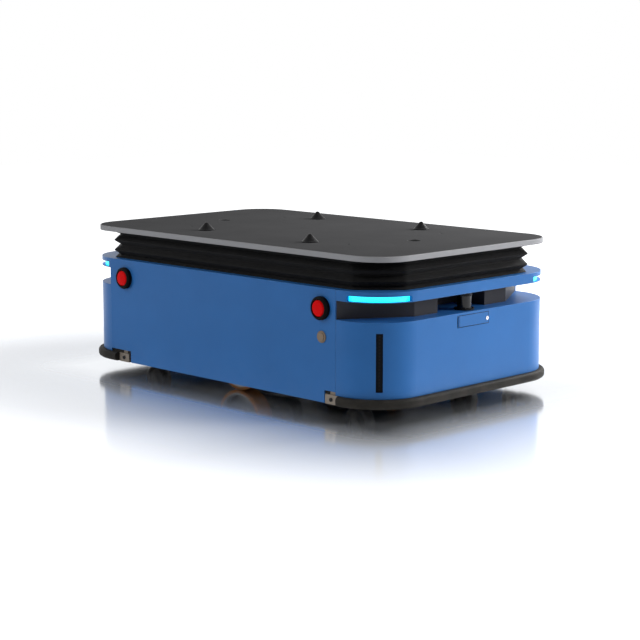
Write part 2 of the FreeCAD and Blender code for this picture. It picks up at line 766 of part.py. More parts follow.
def lift_columns():
    """Tubes under the platform with threaded nuts at their lower ends, and the bushes they run in."""
    tubes, nuts, bushes, bearings = [], [], [], []
    tube_top = plate_bottom
    for sx, sy in FOUR:
        x, y = sx * screw_x, sy * d.screw_y
        tube = turned("tube", [(d.tube_bore, d.tube_bottom + d.nut_height),
                               (d.tube_radius, d.tube_bottom + d.nut_height),
                               (d.tube_radius, tube_top - d.tube_head_thickness),
                               (d.tube_head, tube_top - d.tube_head_thickness),
                               (d.tube_head, tube_top), (d.tube_bore, tube_top)])
        tubes.append(place(tube, x, y))
        bore = d.screw_radius + d.running_gap
        nut = turned("nut", [(bore, d.tube_bottom), (d.tube_radius, d.tube_bottom),
                             (d.tube_radius, d.tube_bottom + d.nut_height),
                             (bore, d.tube_bottom + d.nut_height)])
        nuts.append(place(nut, x, y))
        hole = d.tube_radius + d.running_gap
        bush = turned("bush", [(hole, d.deck_top - d.bush_depth),
                               (d.bush_radius, d.deck_top - d.bush_depth),
                               (d.bush_radius, d.deck_top), (d.bush_flange, d.deck_top),
                               (d.bush_flange, d.deck_top + d.bush_flange_height),
                               (hole, d.deck_top + d.bush_flange_height)])
        bushes.append(place(bush, x, y))
        seat = d.screw_radius + d.running_gap
        bearing = turned("bearing", [(seat, 0), (d.bearing_radius, 0),
                                     (d.bearing_radius, d.bearing_height),
                                     (seat, d.bearing_height)])
        bearings.append(place(bearing, x, y, base_top))
    group("lift_tubes", tubes)
    group("lift_nuts", nuts)
    group("guide_bushes", bushes)
    group("screw_bearings", bearings)


def pulley_points(shank, low, high):
    """Half section of a flanged belt pulley on a shank."""
    bottom, top = d.pulley_level, d.pulley_level + d.pulley_height
    rim = 1.2
    return [(0, low), (shank, low), (shank, bottom), (d.flange_radius, bottom),
            (d.flange_radius, bottom + rim), (d.pulley_radius, bottom + rim),
            (d.pulley_radius, top - rim), (d.flange_radius, top - rim),
            (d.flange_radius, top), (shank, top), (shank, high), (0, high)]


def lift_screws():
    """Four screws, each with its belt pulley, and the gear motor's pulley."""
    low = base_top + d.running_gap
    for index, (sx, sy) in enumerate(FOUR):
        screw = turned("screw", pulley_points(d.screw_radius, low, d.screw_top))
        place(screw, sx * screw_x, sy * d.screw_y)
        node(screw, f"lift_screw_{index + 1}")
    motor = turned("driver", pulley_points(d.motor_shaft, d.pulley_level - d.running_gap,
                                           d.motor_plate_level + d.motor_plate))
    place(motor, motor_x, 0)
    node(motor, "lift_motor_pulley")


def lift_belt():
    """Toothed belt drawn as a plain band round the five pulleys."""
    ring = doc.addObject("Part::Feature", "belt")
    x, y = screw_x.number, SIZES["screw_y"]
    points = [(-x, -y), (x, -y), (motor_x.number, 0), (x, y), (-x, y)]
    low = SIZES["pulley_level"] + 2
    path = Part.makePolygon([Vector(*point, low) for point in points + points[:1]])
    near = SIZES["pulley_radius"] + SIZES["belt_gap"]
    inner = path.makeOffset2D(near)
    outer = path.makeOffset2D(near + SIZES["belt_thickness"])
    face = Part.Face(outer.Wires[0]).cut(Part.Face(inner.Wires[0]))
    ring.Shape = face.extrude(Vector(0, 0, SIZES["pulley_height"] - 4))
    node(ring, "lift_belt")


def lift_gearmotor():
    """Upright gear motor on a plate with four legs."""
    body = new_body("gearmotor")
    plate = sketch(body, level=d.motor_plate_level)
    half_x, half_y = d.motor_leg_x + 2 * d.motor_leg, d.motor_leg_y + 2 * d.motor_leg
    rounded_box(plate, half_x, half_y, 2 * d.motor_leg)
    circle(plate, 0, 0, d.motor_shaft + d.running_gap)
    pad(body, plate, d.motor_plate)
    legs = sketch(body, level=base_top)
    for sx, sy in FOUR:
        circle(legs, sx * d.motor_leg_x, sy * d.motor_leg_y, d.motor_leg)
    pad(body, legs, d.motor_plate_level - base_top)
    can = sketch(body, level=d.motor_plate_level + d.motor_plate)
    circle(can, 0, 0, d.motor_radius)
    pad(body, can, d.motor_height)
    place(body, motor_x, 0)
    node(body, "lift_gearmotor")


# ---- drive units ----------------------------------------------------------------------------

def drive_unit(name, side):
    """Swing arm, gear motor, hub, tyre and eight-sided wire spring of one side."""
    arm = new_body(f"arm_{name}")
    item = sketch(arm, "XZ_Plane")
    rear, tail = -d.pivot_x, d.arm_tail_x
    low, high = d.wheel_radius - d.pivot_boss, d.wheel_radius + d.pivot_boss
    tail_low = d.arm_tail_level - d.arm_tail_radius
    core_low, core_high = d.wheel_radius - d.arm_core, d.wheel_radius + d.arm_core
    polygon(item, [(rear, low), (-d.arm_core, core_low), (d.arm_core, core_low),
                   (tail, tail_low), (tail + d.arm_tail_radius, d.arm_tail_level),
                   (tail + d.arm_tail_radius, d.spring_seat - 4),
                   (tail - d.arm_tail_radius, d.spring_seat - 4), (d.arm_core, core_high),
                   (-d.arm_core, core_high), (rear, high)])
    pad(arm, item, d.arm_thickness, back=True)
    boss = sketch(arm, "XZ_Plane")
    circle(boss, rear, d.wheel_radius, d.pivot_boss)
    pad(arm, boss, d.arm_thickness, back=True)
    holes = sketch(arm, "XZ_Plane")
    circle(holes, rear, d.wheel_radius, d.pivot_radius + d.running_gap)
    circle(holes, 0, d.wheel_radius, d.shaft_radius + d.running_gap)
    cut(arm, holes, d.arm_thickness, forward=False)
    seat = sketch(arm, level=d.spring_seat - 4)
    circle(seat, tail, d.arm_thickness / 2, d.spring_radius + 2)
    pad(arm, seat, 4)
    low_y = side * (arm_y + d.arm_thickness / 2) - d.arm_thickness / 2
    place(arm, y=low_y)
    node(arm, f"drive_arm_{name}")

    away = 90 if side > 0 else -90
    motor = turned(f"motor_{name}", [(0, 0), (d.drive_radius, 0), (d.drive_radius, d.drive_length),
                                     (d.gear_radius, d.drive_length),
                                     (d.gear_radius, d.drive_length + d.gear_length),
                                     (0, d.drive_length + d.gear_length)])
    inner_end = arm_y - d.drive_length - d.gear_length
    place(motor, 0, side * inner_end, d.wheel_radius, turn=-away, axis=(1, 0, 0))
    node(motor, f"drive_motor_{name}")

    web_low = (d.wheel_width - d.hub_web) / 2
    web_high = web_low + d.hub_web
    rim = d.wheel_radius - d.tread
    hub = turned(f"hub_{name}", [(0, arm_y - wheel_inner + 1), (d.hub_bore, arm_y - wheel_inner + 1),
                                 (d.hub_bore, 0), (d.hub_radius, 0), (d.hub_radius, web_low),
                                 (rim - 5, web_low), (rim - 5, 0), (rim, 0), (rim, d.wheel_width),
                                 (rim - 5, d.wheel_width), (rim - 5, web_high),
                                 (d.hub_radius, web_high), (d.hub_radius, d.wheel_width - 4),
                                 (0, d.wheel_width - 4)])
    place(hub, 0, side * wheel_inner, d.wheel_radius, turn=-away, axis=(1, 0, 0))
    node(hub, f"drive_hub_{name}")
    tyre = turned(f"tyre_{name}", [(rim, 0), (d.wheel_radius - 2, 0), (d.wheel_radius, 2),
                                   (d.wheel_radius, d.wheel_width - 2),
                                   (d.wheel_radius - 2, d.wheel_width), (rim, d.wheel_width)])
    place(tyre, 0, side * wheel_inner, d.wheel_radius, turn=-away, axis=(1, 0, 0))
    node(tyre, f"drive_tyre_{name}")

    spring = new_body(f"spring_{name}")
    wire = sketch(spring, "XZ_Plane")
    middle, half = d.spring_radius - d.spring_wire, d.spring_wire / 2
    polygon(wire, [(middle - half, 0), (middle + half, 0), (d.spring_radius, half),
                   (d.spring_radius, 3 * half), (middle + half, 2 * d.spring_wire),
                   (middle - half, 2 * d.spring_wire), (middle - d.spring_wire, 3 * half),
                   (middle - d.spring_wire, half)])
    coil = spring.newObject("PartDesign::AdditiveHelix", f"spring_{name}_coil")
    coil.Profile = wire
    coil.ReferenceAxis = (wire, ["V_Axis"])
    coil.Mode = "height-turns-angle"
    bind(coil, "Height", d.base_level - d.spring_seat - 2 * d.spring_wire)
    coil.Turns = 4
    place(spring, d.arm_tail_x, side * (arm_y + d.arm_thickness / 2), d.spring_seat)
    node(spring, f"suspension_spring_{name}")


def drive_pivots():
    """Clevises under the base plate, with the pins the drive arms swing on."""
    members = []
    for side in (-1, 1):
        body = new_body("pivot")
        middle = side * (arm_y + d.arm_thickness / 2)
        half = d.arm_thickness / 2 + d.running_gap
        half_boss = d.pivot_boss + 2
        ears = sketch(body, "XZ_Plane")
        box(ears, -half_boss, d.wheel_radius - d.pivot_boss, half_boss, d.base_level)
        pad(body, ears, 2 * (half + d.ear), middle=True)
        gap = sketch(body, "XZ_Plane")
        box(gap, -half_boss - 1, d.wheel_radius - d.pivot_boss - 1, half_boss + 1,
            d.base_level - d.pivot_roof)
        cut(body, gap, 2 * half, middle=True)
        pin = sketch(body, "XZ_Plane")
        circle(pin, 0, d.wheel_radius, d.pivot_radius)
        pad(body, pin, 2 * (half + d.ear), middle=True)
        members.append(place(body, -d.pivot_x, middle))
    group("drive_pivots", members)


# ---- casters --------------------------------------------------------------------------------

def casters():
    """Four swivel casters: fixed plates with kingpins, forks with axles, and wheels."""
    plates = []
    race_low = d.base_level - d.caster_plate_thickness - d.race_height
    for index, (sx, sy) in enumerate(FOUR):
        x = sx * (half_length - d.caster_inset_x)
        y = sy * (half_width - d.caster_inset_y)
        plate = new_body(f"caster_plate_{index + 1}")
        item = sketch(plate, level=d.base_level - d.caster_plate_thickness)
        half = d.caster_plate / 2
        rounded_box(item, half, half, 8)
        pad(plate, item, d.caster_plate_thickness)
        race = sketch(plate, level=race_low)
        circle(race, 0, 0, d.race_radius)
        pad(plate, race, d.race_height)
        pin_low = d.fork_top - d.fork_thickness - d.running_gap
        pin = sketch(plate, level=pin_low)
        circle(pin, 0, 0, d.kingpin)
        pad(plate, pin, race_low - pin_low)
        plates.append(place(plate, x, y))

        fork = new_body(f"fork_{index + 1}")
        crown = sketch(fork, level=d.fork_top - d.fork_thickness)
        circle(crown, 0, 0, d.fork_radius)
        circle(crown, 0, 0, d.kingpin + d.running_gap)
        pad(fork, crown, d.fork_thickness)
        inner = d.caster_width / 2 + d.fork_gap
        top = d.fork_top - d.fork_thickness
        trail = -d.caster_trail
        for leg_side in (-1, 1):
            level = inner if leg_side > 0 else -(inner + d.fork_leg)
            leg = sketch(fork, "XZ_Plane", level=level)
            polygon(leg, [(-d.fork_radius + 6, top + 1), (trail - 10, d.caster_radius),
                          (trail - 7, d.caster_radius - 9), (trail + 7, d.caster_radius - 9),
                          (trail + 12, d.caster_radius), (14, top + 1)])
            pad(fork, leg, d.fork_leg)
        axle = sketch(fork, "XZ_Plane")
        circle(axle, trail, d.caster_radius, d.axle_radius)
        pad(fork, axle, 2 * (inner + d.fork_leg + 2), middle=True)
        place(fork, x, y)
        node(fork, f"caster_fork_{index + 1}")

        radius, bore = d.caster_radius, d.axle_radius + d.running_gap
        half = d.caster_width / 2
        web = 7
        wheel = turned(f"caster_{index + 1}", [
            (bore, -half), (10, -half), (12, -web), (radius - d.caster_tread - 4, -web),
            (radius - d.caster_tread, 1 - half), (radius - 3, -half), (radius, 3 - half),
            (radius, half - 3), (radius - 3, half), (radius - d.caster_tread, half - 1),
            (radius - d.caster_tread - 4, web), (12, web), (10, half), (bore, half)])
        place(wheel, x - d.caster_trail, y, radius, turn=90, axis=(1, 0, 0))
        node(wheel, f"caster_wheel_{index + 1}")
    group("caster_plates", plates)


# ---- controls -------------------------------------------------------------------------------

def stop_buttons():
    """Emergency stops: shrouded bodies clamped through the panels and four mushroom heads."""
    bodies = []
    places = ((stop_front, -1), (-stop_rear, -1), (-stop_rear, 1), (stop_front, 1))
    for index, (x, side) in enumerate(places):
        turn = 90 if side < 0 else -90
        floor = 3
        cup = d.stop_head + 1.5
        stem_hole = d.stop_stem + d.running_gap
        mount = turned("stop", [(stem_hole, -d.panel_wall - 8), (d.stop_barrel, -d.panel_wall - 8),
                                (d.stop_barrel, 0), (d.stop_ring, 0),
                                (d.stop_ring, d.stop_ring_height - 4),
                                (d.stop_ring - 4, d.stop_ring_height),
                                (cup, d.stop_ring_height), (cup, floor), (stem_hole, floor)])
        bodies.append(place(mount, x, side * half_width, d.stop_level, turn=turn, axis=(1, 0, 0)))
        block = new_body("contact_block")
        item = sketch(block, level=-d.panel_wall - 8 - d.stop_block_depth)
        half = d.stop_block / 2
        box(item, -half, -half, half, half)
        pad(block, item, d.stop_block_depth)
        well = sketch(block, level=-d.panel_wall - 8)
        circle(well, 0, 0, stem_hole)
        cut(block, well, 12)
        bodies.append(place(block, x, side * half_width, d.stop_level, turn=turn, axis=(1, 0, 0)))
        lift = floor + d.stop_travel + d.running_gap
        top = d.stop_head_height
        head = turned("head", [(0, -d.panel_wall - 8), (d.stop_stem, -d.panel_wall - 8),
                               (d.stop_stem, lift), (d.stop_head, lift), (d.stop_head, top - 2.5),
                               (d.stop_head - 2.5, top), (0, top + 1)])
        place(head, x, side * half_width, d.stop_level, turn=turn, axis=(1, 0, 0))
        node(head, f"stop_head_{index + 1}")
    group("stop_bodies", bodies)


def power_button():
    """Metal push button below the front right emergency stop."""
    stem_hole = d.button_stem + d.running_gap
    back = -d.panel_wall - d.button_depth
    cup = d.button_radius + d.running_gap
    floor = d.button_proud - d.button_travel - 2.5
    bezel = turned("bezel", [(0, back), (d.button_barrel, back), (d.button_barrel, 0),
                             (d.button_bezel, 0), (d.button_bezel, d.button_bezel_height - 1),
                             (d.button_bezel - 1, d.button_bezel_height),
                             (cup, d.button_bezel_height), (cup, floor), (stem_hole, floor),
                             (stem_hole, floor - 10), (0, floor - 10)])
    cap = turned("button", [(0, floor - 7), (d.button_stem, floor - 7), (d.button_stem, 1.8),
                            (d.button_radius, 1.8), (d.button_radius, d.button_proud - 0.6),
                            (d.button_radius - 0.6, d.button_proud), (0, d.button_proud)])
    for thing, label in ((bezel, "power_button_bezel"), (cap, "power_button")):
        place(thing, button_x, -half_width, d.button_level, turn=90, axis=(1, 0, 0))
        node(thing, label)


# ---- inside ---------------------------------------------------------------------------------

def block(label, x, y, length, width, height, ribs):
    """Boxed unit on the base plate with ribs along its top."""
    body = new_body(label)
    item = sketch(body)
    rounded_box(item, length / 2, width / 2, 6)
    pad(body, item, height)
    if ribs:
        grooves = sketch(body, level=height)
        pitch = width / (ribs + 1)
        for number in range(ribs):
            middle = (number + 1) * pitch - width / 2
            box(grooves, -length, middle - d.rib, length, middle + d.rib)
        cut(body, grooves, d.rib)
    return place(body, x, y, base_top)


def inner_units():
    """Battery at the rear, control unit at the front and two motor drivers between."""
    battery = block("battery", d.battery_inset - half_length, 0, d.battery_length,
                    2 * (inner_width - d.battery_side_gap), d.battery_height, 0)
    node(battery, "battery_pack")
    units = [block("control", half_length - d.control_inset, 0, d.control_length, d.control_width,
                   d.control_height, 6)]
    for side in (-1, 1):
        units.append(block("driver_unit", side * d.driver_x, 0, d.driver_length, d.driver_width,
                           d.driver_height, 5))
    group("control_units", units)


base_plate()
deck_posts()
deck()
status_lights()
side_panel("side_panel_right", -1)
side_panel("side_panel_left", 1)
end_cover("front_cover", 1)
end_cover("rear_cover", -1)
corner_sensors()
scan_shields()
hatch_door()
hatch_latch()
service_box()
scanners()
group("bumpers", [bumper(1), bumper(-1)])
bumper_brackets()
lift_plate()
locating_cones()
bellows()
lift_columns()
lift_screws()
lift_belt()
lift_gearmotor()
drive_unit("left", 1)
drive_unit("right", -1)
drive_pivots()
casters()
stop_buttons()
power_button()
inner_units()
doc.recompute()

for thing in doc.Objects:
    if {"Invalid", "Error"} & set(thing.State):
        raise RuntimeError(f"{thing.Name} did not build: {thing.State}")
os.makedirs("parts", exist_ok=True)
for thing in NODES:
    shape = thing.Shape
    if shape.isNull() or not shape.isValid():
        raise RuntimeError(f"{thing.Label} is not a valid shape")
    shape.exportStep(f"parts/{thing.Label}.step")
    print(f"{thing.Label:24s} solids {len(shape.Solids)} volume {shape.Volume:12.0f}")
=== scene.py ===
"""A low mobile robot with a lifting platform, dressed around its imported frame.

Lengths are in metres in the frame's own axes: X points to the front end, Y to
the left side and Z up from the floor.
"""

import json
import logging
import math
from dataclasses import dataclass
from enum import Enum
from typing import Iterable, Sequence

import bmesh
import bpy
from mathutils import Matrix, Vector

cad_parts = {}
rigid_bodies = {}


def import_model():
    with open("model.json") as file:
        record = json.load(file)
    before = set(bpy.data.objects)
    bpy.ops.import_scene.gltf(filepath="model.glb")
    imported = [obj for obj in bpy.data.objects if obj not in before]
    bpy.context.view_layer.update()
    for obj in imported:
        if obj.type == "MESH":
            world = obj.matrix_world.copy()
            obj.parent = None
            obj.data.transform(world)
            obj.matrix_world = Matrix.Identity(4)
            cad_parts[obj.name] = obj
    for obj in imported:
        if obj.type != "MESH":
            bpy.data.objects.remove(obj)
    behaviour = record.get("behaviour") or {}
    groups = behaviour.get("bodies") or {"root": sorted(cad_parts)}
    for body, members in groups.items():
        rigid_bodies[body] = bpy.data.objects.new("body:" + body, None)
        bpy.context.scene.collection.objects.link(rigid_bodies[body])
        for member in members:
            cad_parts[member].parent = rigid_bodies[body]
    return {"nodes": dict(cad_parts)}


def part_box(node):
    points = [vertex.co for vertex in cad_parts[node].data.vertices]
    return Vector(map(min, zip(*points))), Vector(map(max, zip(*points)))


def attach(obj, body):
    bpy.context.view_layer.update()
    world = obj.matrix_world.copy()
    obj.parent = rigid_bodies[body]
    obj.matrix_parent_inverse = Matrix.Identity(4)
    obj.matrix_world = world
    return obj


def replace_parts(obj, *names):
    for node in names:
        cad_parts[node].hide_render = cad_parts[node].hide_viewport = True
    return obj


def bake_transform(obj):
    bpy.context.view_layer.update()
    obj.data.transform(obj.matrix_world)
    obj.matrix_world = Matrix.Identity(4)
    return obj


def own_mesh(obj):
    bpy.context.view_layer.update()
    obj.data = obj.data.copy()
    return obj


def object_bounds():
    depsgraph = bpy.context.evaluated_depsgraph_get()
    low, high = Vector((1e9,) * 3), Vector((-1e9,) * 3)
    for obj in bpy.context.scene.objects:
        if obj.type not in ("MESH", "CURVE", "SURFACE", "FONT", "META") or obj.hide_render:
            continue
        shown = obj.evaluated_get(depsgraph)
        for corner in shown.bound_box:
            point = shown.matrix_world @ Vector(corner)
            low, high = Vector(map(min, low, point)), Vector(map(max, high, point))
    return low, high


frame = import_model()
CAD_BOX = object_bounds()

LOG = logging.getLogger("robot")
Triple = tuple[float, float, float]
Pair = tuple[float, float]
Socket = bpy.types.NodeSocket
Feed = Socket | float | Sequence[float]
Colour = tuple[float, float, float, float]


def paint(red: int, green: int, blue: int) -> Colour:
    """Give a display colour of 0 to 255 a channel as a linear colour."""
    def linear(part: int) -> float:
        value = part / 255
        return value / 12.92 if value <= 0.04045 else ((value + 0.055) / 1.055) ** 2.4
    return (linear(red), linear(green), linear(blue), 1.0)


# ---- node trees ------------------------------------------------------------------------------


class Tree:
    """Adds, sets and links the nodes of one shader or geometry tree."""

    def __init__(self, tree: bpy.types.NodeTree) -> None:
        """Keep the tree that the nodes go into."""
        self.tree = tree

    def add(self, kind: str, inputs: dict | None = None, **settings: object) -> bpy.types.Node:
        """Add one node.

        Args:
            kind: Blender's name of the node type.
            inputs: What goes into its sockets, by name or number.
            settings: Its properties.

        Returns:
            The new node.
        """
        made = self.tree.nodes.new(kind)
        made.location = (len(self.tree.nodes) * 40, 0)
        for name, value in settings.items():
            setattr(made, name, value)
        for name, source in (inputs or {}).items():
            self.feed(made.inputs[name], source)
        return made

    def feed(self, socket: Socket, source: Feed) -> None:
        """Link a source socket into a socket, or set the socket's own value."""
        if isinstance(source, bpy.types.NodeSocket):
            self.tree.links.new(source, socket)
        else:
            socket.default_value = source

    def maths(self, operation: str, first: Feed, second: Feed = 0.0, clamp: bool = False) -> Socket:
        """Return the result of one sum on two values."""
        made = self.add("ShaderNodeMath", {0: first, 1: second}, operation=operation, use_clamp=clamp)
        return made.outputs[0]

    def vector(self, operation: str, first: Feed, second: Feed) -> bpy.types.Node:
        """Return the node of one sum on two vectors."""
        return self.add("ShaderNodeVectorMath", {0: first, 1: second}, operation=operation)

    def spread(self, value: Feed, low: Feed, high: Feed, start: Feed = 0.0, end: Feed = 1.0) -> Socket:
        """Map a value between low and high to between start and end, held at both."""
        sockets = {"Value": value, "From Min": low, "From Max": high, "To Min": start, "To Max": end}
        return self.add("ShaderNodeMapRange", sockets).outputs["Result"]

    def blend(self, share: Feed, first: Feed, second: Feed) -> Socket:
        """Mix two colours by a share from 0 to 1."""
        made = self.add("ShaderNodeMix", data_type="RGBA")
        for number, source in ((0, share), (6, first), (7, second)):
            self.feed(made.inputs[number], source)
        return made.outputs[2]

    def place(self) -> Socket:
        """Return a point's place in its piece."""
        return self.add("ShaderNodeTexCoord").outputs["Object"]

    def noise(self, place: Socket, scale: Feed, detail: float) -> Socket:
        """Return a cloudy value from about 0.3 to 0.7."""
        return self.add("ShaderNodeTexNoise", {"Vector": place, "Scale": scale, "Detail": detail}).outputs[0]

    def upward(self, vector: Socket) -> Socket:
        """Return how far a vector points up."""
        return self.add("ShaderNodeSeparateXYZ", {0: vector}).outputs["Z"]

    def outside(self, half: Triple) -> Socket:
        """Return how far a point lies outside a box round the origin, from half the box's size."""
        place = self.place()
        past = self.vector("SUBTRACT", self.vector("ABSOLUTE", place, place).outputs[0], half).outputs[0]
        beyond = self.vector("MAXIMUM", past, (0.0, 0.0, 0.0)).outputs[0]
        return self.vector("LENGTH", beyond, beyond).outputs["Value"]

    def attribute(self, name: str, sort: str) -> Socket:
        """Return what the points carry under a name."""
        return self.add("GeometryNodeInputNamedAttribute", {"Name": name}, data_type=sort).outputs[0]

    def finished(self, shape: Socket, finish: Socket, output: Socket) -> bpy.types.NodeTree:
        """End a geometry tree: real geometry with its finish goes to its output."""
        real = self.add("GeometryNodeRealizeInstances", {0: shape}).outputs[0]
        dressed = self.add("GeometryNodeSetMaterial", {"Geometry": real, "Material": finish}).outputs[0]
        self.feed(output, dressed)
        return self.tree


def new_tree(name: str, kind: str, inputs: dict[str, Feed],
             outputs: dict[str, str]) -> tuple[Tree, dict, dict]:
    """Start a node group with named sockets.

    Args:
        name: The group's name.
        kind: ShaderNodeTree or GeometryNodeTree.
        inputs: Each input's default; a socket type's name stands for a default of its own.
        outputs: Each output's socket type.

    Returns:
        The tree, the inner sockets of its inputs and those of its outputs.
    """
    group = bpy.data.node_groups.new(name, kind)
    for label, value in inputs.items():
        if isinstance(value, str):
            group.interface.new_socket(label, in_out="INPUT", socket_type=value)
            continue
        whole = isinstance(value, int)
        plain = "NodeSocketInt" if whole else "NodeSocketFloat"
        sort = plain if isinstance(value, (int, float)) else "NodeSocketVector"
        group.interface.new_socket(label, in_out="INPUT", socket_type=sort).default_value = value
    for label, sort in outputs.items():
        group.interface.new_socket(label, in_out="OUTPUT", socket_type=sort)
    tree = Tree(group)
    start = tree.add("NodeGroupInput")
    end = tree.add("NodeGroupOutput")
    return tree, {s.name: s for s in start.outputs if s.name}, {s.name: s for s in end.inputs if s.name}


# ---- shader groups ---------------------------------------------------------------------------


class Effects:
    """The shader groups that more than one finish uses, each built once."""

    def __init__(self) -> None:
        """Build every group."""
        self.wear = self._edge_wear()
        self.grain = self._grain()
        self.dust = self._dust()

    @staticmethod
    def _edge_wear() -> bpy.types.NodeTree:
        """Build the mask of rubbed edges: a rounded normal against the flat one, broken up."""
        tree, given, made = new_tree(
            "edge wear", "ShaderNodeTree",
            {"Radius": 0.0012, "Amount": 0.5, "Scale": 60.0},
            {"Mask": "NodeSocketFloat", "Rounded Edge": "NodeSocketVector"})
        rounded = tree.add("ShaderNodeBevel", {"Radius": given["Radius"]}, samples=4)
        flat = tree.add("ShaderNodeNewGeometry")
        turn = tree.vector("DOT_PRODUCT", rounded.outputs[0], flat.outputs["Normal"]).outputs["Value"]
        edge = tree.spread(turn, 0.995, 0.85)
        broken = tree.spread(tree.noise(tree.place(), given["Scale"], 5.0), 0.62, 0.42)
        tree.feed(made["Mask"], tree.maths("MULTIPLY", tree.maths("MULTIPLY", edge, broken), given["Amount"]))
        tree.feed(made["Rounded Edge"], rounded.outputs[0])
        return tree.tree

    @staticmethod
    def _grain() -> bpy.types.NodeTree:
        """Build fine grain and slow mottling from two noises on stretched coordinates."""
        tree, given, made = new_tree(
            "grain", "ShaderNodeTree",
            {"Scale": 900.0, "Cloud Scale": 9.0, "Stretch": (1.0, 1.0, 1.0)},
            {"Grain": "NodeSocketFloat", "Cloud": "NodeSocketFloat"})
        place = tree.place()
        drawn = tree.vector("MULTIPLY", place, given["Stretch"]).outputs[0]
        tree.feed(made["Grain"], tree.noise(drawn, given["Scale"], 3.0))
        tree.feed(made["Cloud"], tree.spread(tree.noise(place, given["Cloud Scale"], 4.0), 0.3, 0.7))
        return tree.tree

    @staticmethod
    def _dust() -> bpy.types.NodeTree:
        """Build the mask of dust: thicker on faces that look up and near the floor."""
        tree, given, made = new_tree(
            "dust", "ShaderNodeTree", {"Amount": 0.3, "Reach": 0.12}, {"Mask": "NodeSocketFloat"})
        place = tree.place()
        low = tree.spread(tree.upward(place), 0.0, given["Reach"], 1.0, 0.0)
        up = tree.spread(tree.upward(tree.add("ShaderNodeNewGeometry").outputs["Normal"]), 0.3, 1.0)
        patch = tree.spread(tree.noise(place, 35.0, 6.0), 0.35, 0.7)
        both = tree.maths("ADD", low, tree.maths("MULTIPLY", up, 0.4), clamp=True)
        tree.feed(made["Mask"], tree.maths("MULTIPLY", tree.maths("MULTIPLY", both, patch), given["Amount"]))
        return tree.tree


EFFECTS = Effects()
DUST_COLOUR = paint(150, 142, 130)


# ---- finishes --------------------------------------------------------------------------------


class Draw(Enum):
    """How a surface's grain is drawn out: evenly, or along one axis."""

    EVEN = (1.0, 1.0, 1.0)
    ALONG_X = (0.04, 1.0, 1.0)
    ALONG_Z = (1.0, 1.0, 0.05)


@dataclass(frozen=True)
class Finish:
    """One surface finish: its colour, gloss, grain, rubbed edges and dust."""

    name: str
    colour: Colour
    roughness: float = 0.5
    metallic: float = 0.0
    grain_scale: float = 900.0
    grain_depth: float = 0.00004
    draw: Draw = Draw.EVEN
    mottling: float = 0.12
    gloss_spread: float = 0.06
    wear: float = 0.0
    wear_colour: Colour = (0.35, 0.35, 0.36, 1.0)
    dust: float = 0.0
    coat: float = 0.0
    coat_roughness: float = 0.08
    specular: float = 0.2

    def material(self) -> bpy.types.Material:
        """Return the material of this finish, built at its first use."""
        known = bpy.data.materials.get(f"{self.name} finish")
        if known:
            return known
        made = bpy.data.materials.new(f"{self.name} finish")
        made.use_nodes = True
        tree = Tree(made.node_tree)
        surface = made.node_tree.nodes["Principled BSDF"]
        self.dress(tree, surface)
        return made

    @staticmethod
    def group(tree: Tree, group: bpy.types.NodeTree, inputs: dict[str, Feed]) -> bpy.types.Node:
        """Place a shader group in a material and set its inputs."""
        node = tree.add("ShaderNodeGroup", node_tree=group)
        for name, source in inputs.items():
            tree.feed(node.inputs[name], source)
        return node

    def dress(self, tree: Tree, surface: bpy.types.Node) -> None:
        """Wire colour, gloss and bump into the surface shader.

        Args:
            tree: The material's tree.
            surface: Its Principled shader.
        """
        grain = self.group(tree, EFFECTS.grain, {"Scale": self.grain_scale, "Stretch": self.draw.value})
        darker = tuple(part * (1 - self.mottling) for part in self.colour[:3]) + (1.0,)
        lighter = tuple(min(1.0, part * (1 + self.mottling)) for part in self.colour[:3]) + (1.0,)
        colour = tree.blend(grain.outputs["Cloud"], darker, lighter)
        metal: Feed = self.metallic
        bump = tree.add("ShaderNodeBump", {"Height": grain.outputs["Grain"], "Distance": self.grain_depth})
        if self.wear:
            edges = self.group(tree, EFFECTS.wear, {"Amount": self.wear})
            colour = tree.blend(edges.outputs["Mask"], colour, self.wear_colour)
            metal = tree.maths("MAXIMUM", edges.outputs["Mask"], self.metallic)
            tree.feed(bump.inputs["Normal"], edges.outputs["Rounded Edge"])
        gloss = tree.spread(grain.outputs["Grain"], 0.3, 0.7, self.roughness - self.gloss_spread,
                            self.roughness + self.gloss_spread)
        if self.dust:
            dust = self.group(tree, EFFECTS.dust, {"Amount": self.dust}).outputs["Mask"]
            colour = tree.blend(dust, colour, DUST_COLOUR)
            gloss = tree.maths("ADD", gloss, tree.maths("MULTIPLY", dust, 0.3), clamp=True)
        tree.feed(surface.inputs["Base Color"], colour)
        tree.feed(surface.inputs["Metallic"], metal)
        tree.feed(surface.inputs["Roughness"], gloss)
        tree.feed(surface.inputs["Normal"], bump.outputs["Normal"])
        surface.inputs["Coat Weight"].default_value = self.coat
        surface.inputs["Coat Roughness"].default_value = self.coat_roughness
        surface.inputs["Specular IOR Level"].default_value = self.specular


@dataclass(frozen=True)
class PlatformFinish(Finish):
    """Dark blasted top with a bright machined rim where the faces stand upright, past its middle."""

    rim_colour: Colour = (0.32, 0.32, 0.33, 1.0)
    inner_half: Triple = (0.42, 0.26, 1.0)
    rim_fade: float = 0.002

    def dress(self, tree: Tree, surface: bpy.types.Node) -> None:
        """Wire the finish, then brighten the upright faces.

        Args:
            tree: The material's tree.
            surface: Its Principled shader.
        """
        super().dress(tree, surface)
        normal = tree.add("ShaderNodeNewGeometry").outputs["Normal"]
        upright = tree.spread(tree.maths("ABSOLUTE", tree.upward(normal)), 0.95, 0.8)
        border = tree.spread(tree.outside(self.inner_half), 0.0, self.rim_fade)
        rim = tree.maths("MULTIPLY", upright, border)
        top = surface.inputs["Base Color"].links[0].from_socket
        tree.feed(surface.inputs["Base Color"], tree.blend(rim, top, self.rim_colour))


